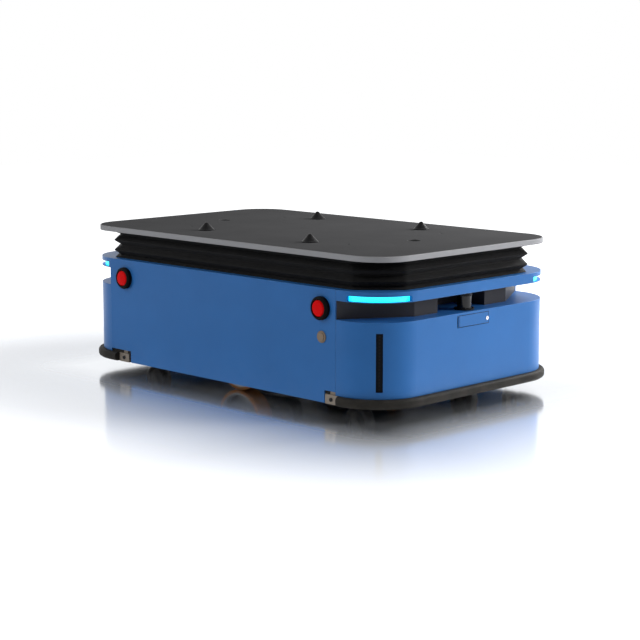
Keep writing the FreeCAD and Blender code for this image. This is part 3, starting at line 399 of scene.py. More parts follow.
@dataclass(frozen=True)
class GlowFinish(Finish):
    """A frosted strip that gives off its own light."""

    glow: Colour = paint(0, 225, 255)
    strength: float = 2.5

    def dress(self, tree: Tree, surface: bpy.types.Node) -> None:
        """Wire the finish and its glow, mottled by the frosting.

        Args:
            tree: The material's tree.
            surface: Its Principled shader.
        """
        super().dress(tree, surface)
        grain = self.group(tree, EFFECTS.grain, {"Scale": 300.0})
        dim = tuple(part * 0.85 for part in self.glow[:3]) + (1.0,)
        tree.feed(surface.inputs["Emission Color"], tree.blend(grain.outputs["Cloud"], dim, self.glow))
        surface.inputs["Emission Strength"].default_value = self.strength


@dataclass(frozen=True)
class WovenFinish(Finish):
    """Coated cloth whose threads follow the piece's own map."""

    threads: float = 900.0

    def dress(self, tree: Tree, surface: bpy.types.Node) -> None:
        """Wire the finish, with a plain weave in place of the grain's bump.

        Args:
            tree: The material's tree.
            surface: Its Principled shader.
        """
        super().dress(tree, surface)
        place = tree.add("ShaderNodeTexCoord").outputs["UV"]
        warp = tree.add("ShaderNodeTexWave", {"Vector": place, "Scale": self.threads}, bands_direction="X")
        weft = tree.add("ShaderNodeTexWave", {"Vector": place, "Scale": self.threads}, bands_direction="Y")
        cloth = tree.maths("MULTIPLY", warp.outputs["Fac"], weft.outputs["Fac"])
        bump = tree.add("ShaderNodeBump", {"Height": cloth, "Distance": self.grain_depth, "Strength": 0.6})
        tree.feed(surface.inputs["Normal"], bump.outputs["Normal"])
        surface.inputs["Sheen Weight"].default_value = 0.04


STEEL_WEAR = paint(170, 170, 172)

BLUE = Finish("blue paint", paint(42, 101, 164), 0.36, grain_scale=1400, grain_depth=0.00002, mottling=0.04,
              gloss_spread=0.04, wear=0.25, wear_colour=paint(120, 150, 190), dust=0.03, specular=0.16)
FRAME = Finish("frame paint", paint(36, 38, 42), 0.55, grain_depth=0.00006, wear=0.5, dust=0.25)
SHIELD = Finish("shield paint", paint(58, 57, 60), 0.45, grain_depth=0.00005, wear=0.15, dust=0.05,
                specular=0.1)
PLATFORM = PlatformFinish("platform metal", paint(78, 78, 79), 0.42, grain_scale=1200,
                          grain_depth=0.00003, draw=Draw.ALONG_X, mottling=0.05, wear=0.3,
                          wear_colour=paint(150, 150, 152), specular=0.0)
CONE = Finish("cone metal", paint(13, 13, 14), 0.36, 0.1, wear=0.25, wear_colour=paint(90, 90, 94),
              specular=0.1)
CLOTH = WovenFinish("bellows cloth", paint(17, 17, 18), 0.62, grain_depth=0.0003, mottling=0.15, dust=0.03,
                    specular=0.06)
LENS = GlowFinish("light lens", paint(120, 225, 245), 0.3)
SENSOR = Finish("sensor plastic", paint(6, 9, 14), 0.25, specular=0.05)
SCANNER = Finish("scanner plastic", paint(11, 12, 14), 0.3, grain_depth=0.00003, wear=0.1, specular=0.12)
WINDOW = Finish("scanner window", paint(6, 7, 10), 0.1, gloss_spread=0.02, grain_depth=0.000005, specular=0.3)
BUMPER = Finish("bumper rubber", paint(33, 31, 28), 0.6, grain_scale=700, grain_depth=0.00008, mottling=0.05,
                wear=0.12, wear_colour=paint(80, 77, 74), dust=0.06, specular=0.1)
BRACKET = Finish("bracket metal", paint(122, 113, 103), 0.42, 0.5, draw=Draw.ALONG_X, wear=0.2,
                 wear_colour=paint(160, 156, 150), dust=0.08)
STEEL = Finish("steel", paint(165, 165, 168), 0.3, 1.0, draw=Draw.ALONG_Z, wear=0.3, wear_colour=STEEL_WEAR)
IRON = Finish("cast iron", paint(58, 58, 60), 0.62, 0.4, grain_scale=300, grain_depth=0.0003, wear=0.6,
              dust=0.25)
BRONZE = Finish("bronze", paint(176, 128, 70), 0.34, 1.0, wear=0.3, wear_colour=paint(220, 180, 120))
BELT = Finish("belt rubber", paint(22, 22, 22), 0.7, grain_scale=400, grain_depth=0.0001, dust=0.1)
MOTOR = Finish("motor paint", paint(40, 42, 46), 0.45, wear=0.4, dust=0.15, coat=0.1)
HUB = Finish("hub aluminium", paint(120, 122, 125), 0.4, 0.8, wear=0.3, wear_colour=paint(190, 190, 192))
AMBER = Finish("amber tread", paint(150, 92, 30), 0.42, grain_scale=500, grain_depth=0.00008, dust=0.3)
SPRING = Finish("spring steel", paint(96, 98, 104), 0.35, 0.9, wear=0.2)
ZINC = Finish("zinc steel", paint(92, 92, 90), 0.5, 0.7, grain_scale=120, mottling=0.15, wear=0.2,
              wear_colour=paint(130, 130, 128), dust=0.15)
CASTER = Finish("caster tread", paint(44, 46, 50), 0.5, grain_depth=0.00008, dust=0.4)
EMITTER = Finish("emitter lens", paint(16, 10, 14), 0.2, grain_depth=0.00001, specular=0.12)
BLACK_SCREW = Finish("black screw", paint(28, 28, 30), 0.38, 0.6, wear=0.3, wear_colour=paint(110, 110, 112))
STOP_RED = Finish("stop red", paint(216, 4, 8), 0.3, mottling=0.04, specular=0.05)
BLACK = Finish("black plastic", paint(9, 9, 11), 0.45, grain_depth=0.00004, wear=0.06, dust=0.01,
               specular=0.04)
BUTTON = Finish("button metal", paint(112, 98, 84), 0.36, 0.7, draw=Draw.ALONG_X)
LATCH = Finish("latch metal", paint(200, 200, 202), 0.22, 1.0)
BATTERY = Finish("battery case", paint(30, 34, 40), 0.5, grain_depth=0.0001, dust=0.1)
HEATSINK = Finish("heat sink", paint(52, 54, 58), 0.4, 0.8, draw=Draw.ALONG_X)

NODE_FINISHES: dict[str, Finish] = {
    "blue_paint": BLUE, "frame_paint": FRAME, "shield_paint": SHIELD, "platform_metal": PLATFORM,
    "cone_metal": CONE, "bellows_fabric": CLOTH, "light_lens": LENS, "sensor_plastic": SENSOR,
    "scanner_plastic": SCANNER, "scanner_glass": WINDOW, "bumper_rubber": BUMPER, "bracket_metal": BRACKET,
    "steel": STEEL, "cast_iron": IRON, "bronze": BRONZE, "belt_rubber": BELT, "motor_paint": MOTOR,
    "hub_aluminium": HUB, "amber_polyurethane": AMBER, "spring_steel": SPRING, "zinc_steel": ZINC,
    "caster_polyurethane": CASTER, "stop_red": STOP_RED, "black_plastic": BLACK, "button_metal": BUTTON,
    "latch_metal": LATCH, "battery_case": BATTERY, "heatsink": HEATSINK,
}


# ---- mesh helpers ----------------------------------------------------------------------------

CORNERS = ((1, 1), (-1, 1), (-1, -1), (1, -1))
SINK = 0.0002  # how deep a small piece sits in the face that carries it, so that no gap shows


def centre_of(node: str) -> Vector:
    """Return the middle of a frame node's box."""
    low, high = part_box(node)
    return (Vector(low) + Vector(high)) / 2


def skin(name: str, rings: Sequence[Sequence[Triple]], capped: bool = False,
         looped: bool = False) -> bpy.types.Mesh:
    """Join rings of points into a closed mesh.

    Args:
        name: The mesh's name.
        rings: Rows of as many points each, in order; a single point is a pole.
        capped: Whether the first and last ring are faces of their own.
        looped: Whether the last ring joins the first.

    Returns:
        The mesh, with its faces outwards.
    """
    mesh = bpy.data.meshes.new(name)
    shape = bmesh.new()
    rows = [[shape.verts.new(point) for point in ring] for ring in rings]
    sides = max(len(row) for row in rows)
    for one, other in list(zip(rows, rows[1:])) + ([(rows[-1], rows[0])] if looped else []):
        for step in range(sides):
            after = (step + 1) % sides
            corners = (one[step % len(one)], one[after % len(one)],
                       other[after % len(other)], other[step % len(other)])
            kept = list(dict.fromkeys(corners))
            if len(kept) > 2:
                shape.faces.new(kept)
    if capped:
        shape.faces.new(rows[0][::-1])
        shape.faces.new(rows[-1])
    bmesh.ops.recalc_face_normals(shape, faces=shape.faces)
    shape.to_mesh(mesh)
    shape.free()
    return mesh


def mesh_object(name: str, mesh: bpy.types.Mesh) -> bpy.types.Object:
    """Put a mesh into the scene as an object at the origin."""
    made = bpy.data.objects.new(name, mesh)
    bpy.context.scene.collection.objects.link(made)
    return made


def baked(thing: bpy.types.Object) -> bpy.types.Object:
    """Turn an object's modifiers into its plain mesh.

    Args:
        thing: The object whose modifiers are live.

    Returns:
        The same object, with the finished mesh and no modifier.
    """
    bpy.context.view_layer.update()
    seen = thing.evaluated_get(bpy.context.evaluated_depsgraph_get())
    thing.data = bpy.data.meshes.new_from_object(seen)
    thing.modifiers.clear()
    return thing


def run_tree(thing: bpy.types.Object, tree: bpy.types.NodeTree,
             inputs: dict[str, object]) -> bpy.types.Object:
    """Run a geometry tree on an object and keep the result as its plain mesh.

    Args:
        thing: The object that the tree starts from.
        tree: The geometry tree.
        inputs: Its inputs' values by name.

    Returns:
        The same object with the tree's mesh.
    """
    modifier = thing.modifiers.new("nodes", "NODES")
    modifier.node_group = tree
    sockets = {item.name: item for item in tree.interface.items_tree if item.in_out == "INPUT"}
    for name, value in inputs.items():
        modifier[sockets[name].identifier] = value
    return baked(thing)


def lathe(name: str, profile: Sequence[Pair], sides: int = 48) -> bpy.types.Mesh:
    """Turn a closed profile of radius and height about Z.

    Args:
        name: The mesh's name.
        profile: Corners in order; a radius of zero closes on the axis.
        sides: Steps round the axis.

    Returns:
        A closed mesh with its faces outwards.
    """
    turns = [2 * math.pi * step / sides for step in range(sides)]
    rings = [[(radius * math.cos(turn), radius * math.sin(turn), level) for turn in turns]
             if radius > 0 else [(0.0, 0.0, level)] for radius, level in profile]
    return skin(name, rings, looped=profile[0][0] > 0 and profile[-1][0] > 0)


# ---- repeated pieces -------------------------------------------------------------------------


@dataclass(frozen=True)
class Spot:
    """Where a small piece sits, and the way that its own Z axis faces."""

    place: Triple
    facing: Triple = (0.0, 0.0, 1.0)


class Repeats:
    """The geometry trees that set out small pieces, coils and belt teeth, each built once."""

    def __init__(self) -> None:
        """Build every tree."""
        self.pieces = self._piece_tree()
        self.coils = self._coil_tree()
        self.teeth = self._teeth_tree()

    @staticmethod
    def _set_out(tree: Tree, points: Socket, piece: Socket, turn: Socket, seed: Socket) -> Socket:
        """Put a copy of a piece at each point, turned to the point's facing and then about itself."""
        facing = tree.attribute("facing", "FLOAT_VECTOR")
        aligned = tree.add("FunctionNodeAlignRotationToVector", {"Vector": facing}, axis="Z").outputs[0]
        spin = tree.add("FunctionNodeRandomValue", data_type="FLOAT")
        tree.feed(spin.inputs[3], turn)
        tree.feed(spin.inputs["Seed"], seed)
        about = tree.add("FunctionNodeAxisAngleToRotation", {
            "Axis": (0.0, 0.0, 1.0), "Angle": spin.outputs[1]})
        turned = tree.add("FunctionNodeRotateRotation", {"Rotation": aligned, "Rotate By": about.outputs[0]},
                          rotation_space="LOCAL")
        return tree.add("GeometryNodeInstanceOnPoints", {
            "Points": points, "Instance": piece, "Rotation": turned.outputs[0]}).outputs[0]

    def _piece_tree(self) -> bpy.types.NodeTree:
        """Build the tree that sets one made piece at each point."""
        tree, given, made = new_tree(
            "set pieces", "GeometryNodeTree",
            {"Points": "NodeSocketGeometry", "Piece": "NodeSocketObject", "Largest Turn": 0.0, "Seed": 3,
             "Finish": "NodeSocketMaterial"}, {"Pieces": "NodeSocketGeometry"})
        piece = tree.add("GeometryNodeObjectInfo", {"Object": given["Piece"]}).outputs["Geometry"]
        shape = self._set_out(tree, given["Points"], piece, given["Largest Turn"], given["Seed"])
        return tree.finished(shape, given["Finish"], made["Pieces"])

    def _coil_tree(self) -> bpy.types.NodeTree:
        """Build the tree that winds a round wire up from each point."""
        tree, given, made = new_tree(
            "wind coils", "GeometryNodeTree",
            {"Points": "NodeSocketGeometry", "Turns": 10.0, "Radius": 0.01, "Height": 0.1,
             "Wire Radius": 0.0003, "Steps a Turn": 28, "Wire Sides": 6, "Finish": "NodeSocketMaterial"},
            {"Pieces": "NodeSocketGeometry"})
        helix = tree.add("GeometryNodeCurveSpiral", {
            "Resolution": given["Steps a Turn"], "Rotations": given["Turns"], "Start Radius": given["Radius"],
            "End Radius": given["Radius"], "Height": given["Height"]}).outputs[0]
        wire = tree.add("GeometryNodeCurvePrimitiveCircle", {
            "Resolution": given["Wire Sides"], "Radius": given["Wire Radius"]}).outputs[0]
        coil = tree.add("GeometryNodeCurveToMesh", {
            "Curve": helix, "Profile Curve": wire, "Fill Caps": True}).outputs[0]
        shape = tree.add("GeometryNodeInstanceOnPoints", {
            "Points": given["Points"], "Instance": coil}).outputs[0]
        return tree.finished(shape, given["Finish"], made["Pieces"])

    def _teeth_tree(self) -> bpy.types.NodeTree:
        """Build the tree that spaces teeth along a closed run of edges."""
        tree, given, made = new_tree(
            "space teeth", "GeometryNodeTree",
            {"Run": "NodeSocketGeometry", "Pitch": 0.005, "Tooth": (0.0026, 0.0012, 0.01),
             "Finish": "NodeSocketMaterial"}, {"Pieces": "NodeSocketGeometry"})
        run = tree.add("GeometryNodeMeshToCurve", {"Mesh": given["Run"]}).outputs[0]
        even = tree.add("GeometryNodeResampleCurve", {
            "Curve": run, "Length": given["Pitch"]}, mode="LENGTH").outputs[0]
        along = tree.add("GeometryNodeInputTangent").outputs[0]
        turned = tree.add("FunctionNodeAlignRotationToVector", {"Vector": along}, axis="X").outputs[0]
        tooth = tree.add("GeometryNodeMeshCube", {"Size": given["Tooth"]}).outputs[0]
        shape = tree.add("GeometryNodeInstanceOnPoints", {
            "Points": even, "Instance": tooth, "Rotation": turned}).outputs[0]
        return tree.finished(shape, given["Finish"], made["Pieces"])


REPEATS = Repeats()


def points_object(name: str, spots: Iterable[Spot]) -> bpy.types.Object:
    """Make an object of loose points that carry their facing."""
    spots = list(spots)
    mesh = bpy.data.meshes.new(name)
    mesh.from_pydata([spot.place for spot in spots], [], [])
    facing = mesh.attributes.new("facing", "FLOAT_VECTOR", "POINT")
    facing.data.foreach_set("vector", [part for spot in spots for part in spot.facing])
    return mesh_object(name, mesh)


def set_pieces(name: str, pattern: bpy.types.Mesh, spots: Iterable[Spot], finish: Finish, body: str,
               turn: float = 0.0, sharp: float = 35.0) -> bpy.types.Object:
    """Set copies of a pattern at spots and ride them on a body.

    Args:
        name: The piece's name.
        pattern: The mesh that repeats.
        spots: Where each copy sits.
        finish: The surface finish.
        body: The frame body that carries them.
        turn: The largest turn of a copy about its own axis.
        sharp: The angle in degrees over which an edge stays sharp.

    Returns:
        The finished piece.
    """
    model = mesh_object(f"{name}_pattern", pattern)
    inputs = {"Piece": model, "Largest Turn": turn, "Finish": finish.material()}
    piece = run_tree(points_object(name, spots), REPEATS.pieces, inputs)
    bpy.data.objects.remove(model)
    smooth_by_angle(piece.data, sharp)
    return carried(piece, body)


@dataclass(frozen=True)
class Coil:
    """A wire wound round an upright axis."""

    turns: float
    radius: float
    height: float
    wire: float
    steps: int = 28
    sides: int = 6

    def wind(self, name: str, spots: Iterable[Spot], finish: Finish) -> bpy.types.Object:
        """Wind the coil up from each spot and give it a finish."""
        return run_tree(points_object(name, spots), REPEATS.coils, {
            "Turns": self.turns, "Radius": self.radius, "Height": self.height, "Wire Radius": self.wire,
            "Steps a Turn": self.steps, "Wire Sides": self.sides, "Finish": finish.material()})


def carried(piece: bpy.types.Object, body: str) -> bpy.types.Object:
    """Ride a piece on a body."""
    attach(piece, body)
    return piece


def smooth_by_angle(mesh: bpy.types.Mesh, degrees: float) -> None:
    """Shade a mesh smooth, apart from edges that turn by more than an angle."""
    mesh.shade_smooth()
    mesh.set_sharp_from_angle(angle=math.radians(degrees))


def plain_piece(name: str, mesh: bpy.types.Mesh, finish: Finish, body: str) -> bpy.types.Object:
    """Finish a mesh as one rigid piece on a body."""
    mesh.materials.clear()
    mesh.materials.append(finish.material())
    smooth_by_angle(mesh, 35.0)
    return carried(mesh_object(name, mesh), body)


def socket_screw(name: str, radius: float, height: float, sides: int = 24) -> bpy.types.Mesh:
    """Make a screw head with a rounded rim and a hexagon socket, standing on Z = 0.

    Args:
        name: The mesh's name.
        radius: The head's radius.
        height: Its height.
        sides: Steps round the head.

    Returns:
        A closed mesh.
    """
    socket = radius * 0.48
    steps = [(radius, 0.0, False), (radius, height * 0.82, False), (radius * 0.9, height, False),
             (socket, height, True), (socket, height * 0.35, True)]
    rings = []
    for reach, level, hexagon in steps:
        ring = []
        for step in range(sides):
            turn = 2 * math.pi * step / sides
            lean = (turn + math.pi / 6) % (math.pi / 3) - math.pi / 6
            along = reach * math.cos(math.pi / 6) / math.cos(lean) if hexagon else reach
            ring.append((along * math.cos(turn), along * math.sin(turn), level))
        rings.append(ring)
    return skin(name, rings, capped=True)


def hex_nut(name: str, radius: float, height: float) -> bpy.types.Mesh:
    """Make a hexagon nut with a domed end, standing on Z = 0."""
    return lathe(name, [(0.0, 0.0), (radius, 0.0), (radius, height * 0.85), (radius * 0.86, height),
                        (radius * 0.5, height), (radius * 0.5, height * 1.15), (0.0, height * 1.3)], sides=6)


def set_screws(name: str, size: Pair, spots: Iterable[Spot], finish: Finish, body: str,
               turn: float = 1.0, sides: int = 18) -> bpy.types.Object:
    """Set socket screws whose heads have a radius and height, each turned by chance up to a limit."""
    return set_pieces(name, socket_screw(f"{name}_head", *size, sides), spots, finish, body, turn)


def round_places(middle: Vector, radius: float, count: int, start: float = 0.0) -> list[Triple]:
    """Give evenly spaced places round a circle that lies flat."""
    turns = [start + 2 * math.pi * step / count for step in range(count)]
    return [(middle.x + radius * math.cos(t), middle.y + radius * math.sin(t), middle.z) for t in turns]


# ---- bellows ---------------------------------------------------------------------------------


@dataclass
class Bellows:
    """The pleated skirt between deck and platform, cut off at its four corners."""

    valley_depth: float = 0.014
    crease: float = 0.72
    hem_inset: float = 0.003
    hem_height: float = 0.0015
    hem_fade: float = 0.005
    pitch: float = 0.026
    first_tip: float = 0.0188
    chamfer: float = 0.085
    corner_round: float = 0.007
    corner_steps: int = 4
    wall: float = 0.0012
    rows: int = 52
    side_steps: int = 40
    flat_share: float = 0.118
    cloth_share: float = 1.35
    probe: float = 0.001

    def outline(self, inset: float) -> list[Vector]:
        """Give the skirt's plan at an inset from its widest fold.

        Args:
            inset: How far each side lies inside the widest fold.

        Returns:
            Points round the plan, with each blunt corner rounded.
        """
        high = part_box("bellows")[1]
        x, y, leg = high[0] - inset, high[1] - inset, self.chamfer
        corners = [Vector(place) for place in (
            (x, leg - y, 0), (x, y - leg, 0), (x - leg, y, 0), (leg - x, y, 0),
            (-x, y - leg, 0), (-x, leg - y, 0), (leg - x, -y, 0), (x - leg, -y, 0))]
        points = []
        for index, corner in enumerate(corners):
            before, after = corners[index - 1], corners[(index + 1) % len(corners)]
            start = corner + (before - corner).normalized() * self.corner_round
            end = corner + (after - corner).normalized() * self.corner_round
            for step in range(self.corner_steps + 1):
                share = step / self.corner_steps
                points.append(start.lerp(corner, share).lerp(corner.lerp(end, share), share))
            far = after + (corner - after).normalized() * self.corner_round
            points += [end.lerp(far, step / self.side_steps) for step in range(1, self.side_steps)]
        return points

    def strip(self) -> bpy.types.Object:
        """Build the skirt as a flat-sided tube that carries its fold direction, rise and map."""
        low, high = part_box("bellows")
        outer, inner = self.outline(0.0), self.outline(self.probe)
        mesh = bpy.data.meshes.new("bellows")
        count, height = len(outer), high[2] - low[2]
        places, inward, rise = [], [], []
        for row in range(self.rows + 1):
            level = height * row / self.rows
            for point, within in zip(outer, inner):
                places.append((point.x, point.y, low[2] + level))
                inward.append((within - point) / self.probe)
                rise.append(level)
        faces = [(row * count + step, row * count + (step + 1) % count,
                  (row + 1) * count + (step + 1) % count, (row + 1) * count + step)
                 for row in range(self.rows) for step in range(count)]
        mesh.from_pydata(places, [], faces)
        mesh.attributes.new("inward", "FLOAT_VECTOR", "POINT").data.foreach_set(
            "vector", [part for way in inward for part in way])
        mesh.attributes.new("rise", "FLOAT", "POINT").data.foreach_set("value", rise)
        around = [0.0]
        for step in range(count):
            around.append(around[-1] + (outer[(step + 1) % count] - outer[step]).length)
        length = height * self.cloth_share
        chart = mesh.uv_layers.new(name="cloth")
        for face_index, face in enumerate(mesh.polygons):
            row, step = divmod(face_index, count)
            for loop, (right, up) in zip(face.loop_indices, ((0, 0), (1, 0), (1, 1), (0, 1))):
                chart.data[loop].uv = (around[step + right], length * (row + up) / self.rows)
        mesh.shade_smooth()
        return mesh_object("bellows_cloth", mesh)

    def fold_tree(self) -> bpy.types.NodeTree:
        """Build the tree that pulls the strip into pleats by its height."""
        tree, given, made = new_tree(
            "pleats", "GeometryNodeTree",
            {"Strip": "NodeSocketGeometry", "Depth": 0.014, "Hem": 0.003, "Pitch": 0.026, "First Tip": 0.018,
             "Height": 0.0675, "Slack": 0.0006, "Seed": 7.0, "Cloth": "NodeSocketMaterial"},
            {"Cloth": "NodeSocketGeometry"})
        rise = tree.attribute("rise", "FLOAT")
        inward = tree.attribute("inward", "FLOAT_VECTOR")
        turns = tree.maths("DIVIDE", tree.maths("SUBTRACT", rise, given["First Tip"]), given["Pitch"])
        fold = tree.maths("MULTIPLY", tree.maths("PINGPONG", turns, 0.5), 2.0)
        rounded = tree.add("ShaderNodeMapRange", {"Value": fold}, interpolation_type="SMOOTHSTEP").outputs[0]
        mellow = tree.maths("ADD", tree.maths("MULTIPLY", fold, self.crease),
                            tree.maths("MULTIPLY", rounded, 1.0 - self.crease))
        depth = tree.maths("MULTIPLY", mellow, given["Depth"])
        ends = tree.maths("MINIMUM", rise, tree.maths("SUBTRACT", given["Height"], rise))
        hem = tree.spread(ends, self.hem_height, self.hem_fade, 1.0, 0.0)
        flat = tree.maths("MULTIPLY", tree.maths("SUBTRACT", given["Hem"], depth), hem)
        place = tree.add("GeometryNodeInputPosition").outputs[0]
        seeded = tree.vector("ADD", place, tree.add("ShaderNodeCombineXYZ", {"Z": given["Seed"]}).outputs[0])
        loose = tree.maths("MULTIPLY", tree.noise(seeded.outputs[0], 28.0, 2.0), given["Slack"])
        depth_all = tree.maths("ADD", tree.maths("ADD", depth, flat), loose)
        move = tree.add("ShaderNodeVectorMath", {0: inward, "Scale": depth_all}, operation="SCALE").outputs[0]
        moved = tree.add("GeometryNodeSetPosition", {"Geometry": given["Strip"], "Offset": move}).outputs[0]
        return tree.finished(moved, given["Cloth"], made["Cloth"])

    def build(self) -> None:
        """Fold the strip, give it a wall, and ride it on the chassis."""
        low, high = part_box("bellows")
        skirt = run_tree(self.strip(), self.fold_tree(), {
            "Depth": self.valley_depth, "Hem": self.hem_inset, "Pitch": self.pitch,
            "First Tip": self.first_tip, "Height": high[2] - low[2], "Cloth": CLOTH.material()})
        wall = skirt.modifiers.new("wall", "SOLIDIFY")
        wall.thickness = self.wall
        wall.offset = -1.0
        baked(skirt)
        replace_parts(skirt, "bellows")
        carried(skirt, "chassis")
        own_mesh(skirt)


# ---- sub-assemblies --------------------------------------------------------------------------


@dataclass
class Platform:
    """The lifting plate: cut threads in its four load holes, and the locating cones on top."""

    hole_x: float = 0.283
    hole_y: float = 0.166
    hole_radius: float = 0.004
    pitch: float = 0.00125
    crest: float = 0.00035
    cone_x: float = 0.187
    cone_y: float = 0.199
    cone_profile: tuple[Pair, ...] = (
        (0.0, 0.0), (0.0205, 0.0), (0.0205, 0.0016), (0.0198, 0.0024), (0.0184, 0.003), (0.0158, 0.0058),
        (0.0128, 0.009), (0.0097, 0.0124), (0.0066, 0.0158), (0.0048, 0.0182), (0.0034, 0.0194),
        (0.0018, 0.0199), (0.0, 0.02))

    def cones(self) -> None:
        """Turn the four locating cones in place of the plain ones."""
        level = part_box("locating_cones")[0][2]
        spots = [Spot((sx * self.cone_x, sy * self.cone_y, level)) for sx, sy in CORNERS]
        pattern = lathe("cone", self.cone_profile, sides=64)
        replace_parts(set_pieces("cone_set", pattern, spots, CONE, "platform"), "locating_cones")

    def threads(self) -> None:
        """Wind the threads of the load holes."""
        low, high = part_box("lift_plate")
        depth = high[2] - low[2] - 2 * self.crest
        spots = [Spot((sx * self.hole_x, sy * self.hole_y, low[2] + self.crest)) for sx, sy in CORNERS]
        thread = Coil(depth / self.pitch, self.hole_radius, depth, self.crest)
        carried(thread.wind("load_hole_threads", spots, PLATFORM), "platform")

    def build(self) -> None:
        """Build the plate's fittings."""
        self.threads()
        self.cones()


@dataclass
class Bumpers:
    """The wrap-round bumper's end brackets: a screw in each, and a rubber backing behind it."""

    screw: Pair = (0.0048, 0.0022)
    hole_level: float = 0.011
    half_width: float = 0.019
    backing_reach: float = 0.0235
    rear_shift: float = 0.015
    backing_wall: float = 0.0014
    backing_gap: float = 0.0002
    backing_rise: float = 0.002
    backing_foot: float = 0.0005
    backing_round: float = 0.004
    round_steps: int = 4

    def backing(self, name: str, x: float, reach: float, side: int) -> None:
        """Mould the rubber backing that closes the panel's notch behind one bracket.

        Args:
            name: The piece's name.
            x: The backing's middle.
            reach: Half its length.
            side: 1 for the left panel, -1 for the right.
        """
        low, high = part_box("bumper_brackets")
        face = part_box("side_panel_left")[0][1] - self.backing_gap
        bend = self.backing_round
        levels = {1: high[2] + self.backing_rise, -1: low[2] + self.backing_foot}
        rim = []
        for quarter, (sx, sz) in enumerate(CORNERS):
            turns = [quarter * math.pi / 2 + math.pi / 2 / self.round_steps * step
                     for step in range(self.round_steps + 1)]
            rim += [(x + sx * (reach - bend) + bend * math.cos(turn),
                     levels[sz] - sz * bend + bend * math.sin(turn)) for turn in turns]
        rings = [[(px, side * depth, pz) for px, pz in rim] for depth in (face - self.backing_wall, face)]
        plain_piece(name, skin(name, rings, capped=True), BUMPER, "chassis")

    def build(self) -> None:
        """Set one screw into each bracket, along the hole that it sits in, and a backing behind it."""
        low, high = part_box("bumper_brackets")
        middles = {"front": high[0] - self.half_width, "rear": low[0] + self.half_width}
        for end, shift in (("front", 0.0), ("rear", self.rear_shift)):
            x, reach = middles[end] - shift, self.backing_reach + shift
            for name, side in (("left", 1), ("right", -1)):
                self.backing(f"bracket_backing_{end}_{name}", x, reach, side)
        level = low[2] + self.hole_level
        spots = [Spot((x, side * (high[1] - SINK), level), (0.0, float(side), 0.0))
                 for x in middles.values() for side in (-1, 1)]
        set_screws("bracket_screws", self.screw, spots, BLACK_SCREW, "chassis", sides=24)


@dataclass
class CornerSensors:
    """Rows of small emitters in the upright corner bars."""

    emitter_radius: float = 0.0026
    emitter_height: float = 0.0008
    pitch: float = 0.0075
    edge: float = 0.007
    corner_radius: float = 0.12
    recess: float = 0.003

    def build(self) -> None:
        """Set the emitters along each bar, facing out at 45 degrees."""
        low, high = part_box("corner_sensors")
        outer = Vector(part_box("deck")[1])
        radius = self.corner_radius - self.recess
        length = high[2] - low[2] - 2 * self.edge
        count = int(length / self.pitch)
        spots = []
        for sx, sy in CORNERS:
            facing = Vector((sx, sy, 0)).normalized()
            middle = Vector((sx * (outer.x - self.corner_radius), sy * (outer.y - self.corner_radius), 0))
            foot = middle + facing * (radius - SINK)
            for step in range(count + 1):
                level = low[2] + self.edge + step * length / count
                spots.append(Spot((foot.x, foot.y, level), tuple(facing)))
        dome = lathe("emitter", [(0.0, 0.0), (self.emitter_radius, 0.0),
                                 (self.emitter_radius * 0.8, self.emitter_height * 0.7),
                                 (0.0, self.emitter_height)], sides=12)
        set_pieces("sensor_emitters", dome, spots, EMITTER, "chassis", sharp=70.0)


@dataclass
class Scanners:
    """Screws on the scanners' flanges, and a rim at each end of their windows."""

    screw: Pair = (0.0024, 0.0022)
    circle: float = 0.0206
    rim_radius: float = 0.0178
    rim_height: float = 0.0012
    rim_wall: float = 0.001
    window_radius: float = 0.0175

    def build(self) -> None:
        """Build the flanges' screws and the windows' rims."""
        low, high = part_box("scanner_windows")
        reach = high[0] - self.window_radius
        middles = [Vector((side * reach, 0.0, low[2])) for side in (1, -1)]
        spots = [Spot(place) for middle in middles
                 for place in round_places(middle, self.circle, 4, math.pi / 4)]
        set_screws("scanner_screws", self.screw, spots, BLACK_SCREW, "chassis")
        rims = [Spot((middle.x, 0.0, level)) for middle in middles
                for level in (low[2], high[2] - self.rim_height)]
        bore = self.rim_radius - self.rim_wall
        rim = lathe("window_rim", [(bore, 0.0), (self.rim_radius, 0.0), (self.rim_radius, self.rim_height),
                                   (bore, self.rim_height)])
        set_pieces("scanner_window_rims", rim, rims, SCANNER, "chassis")


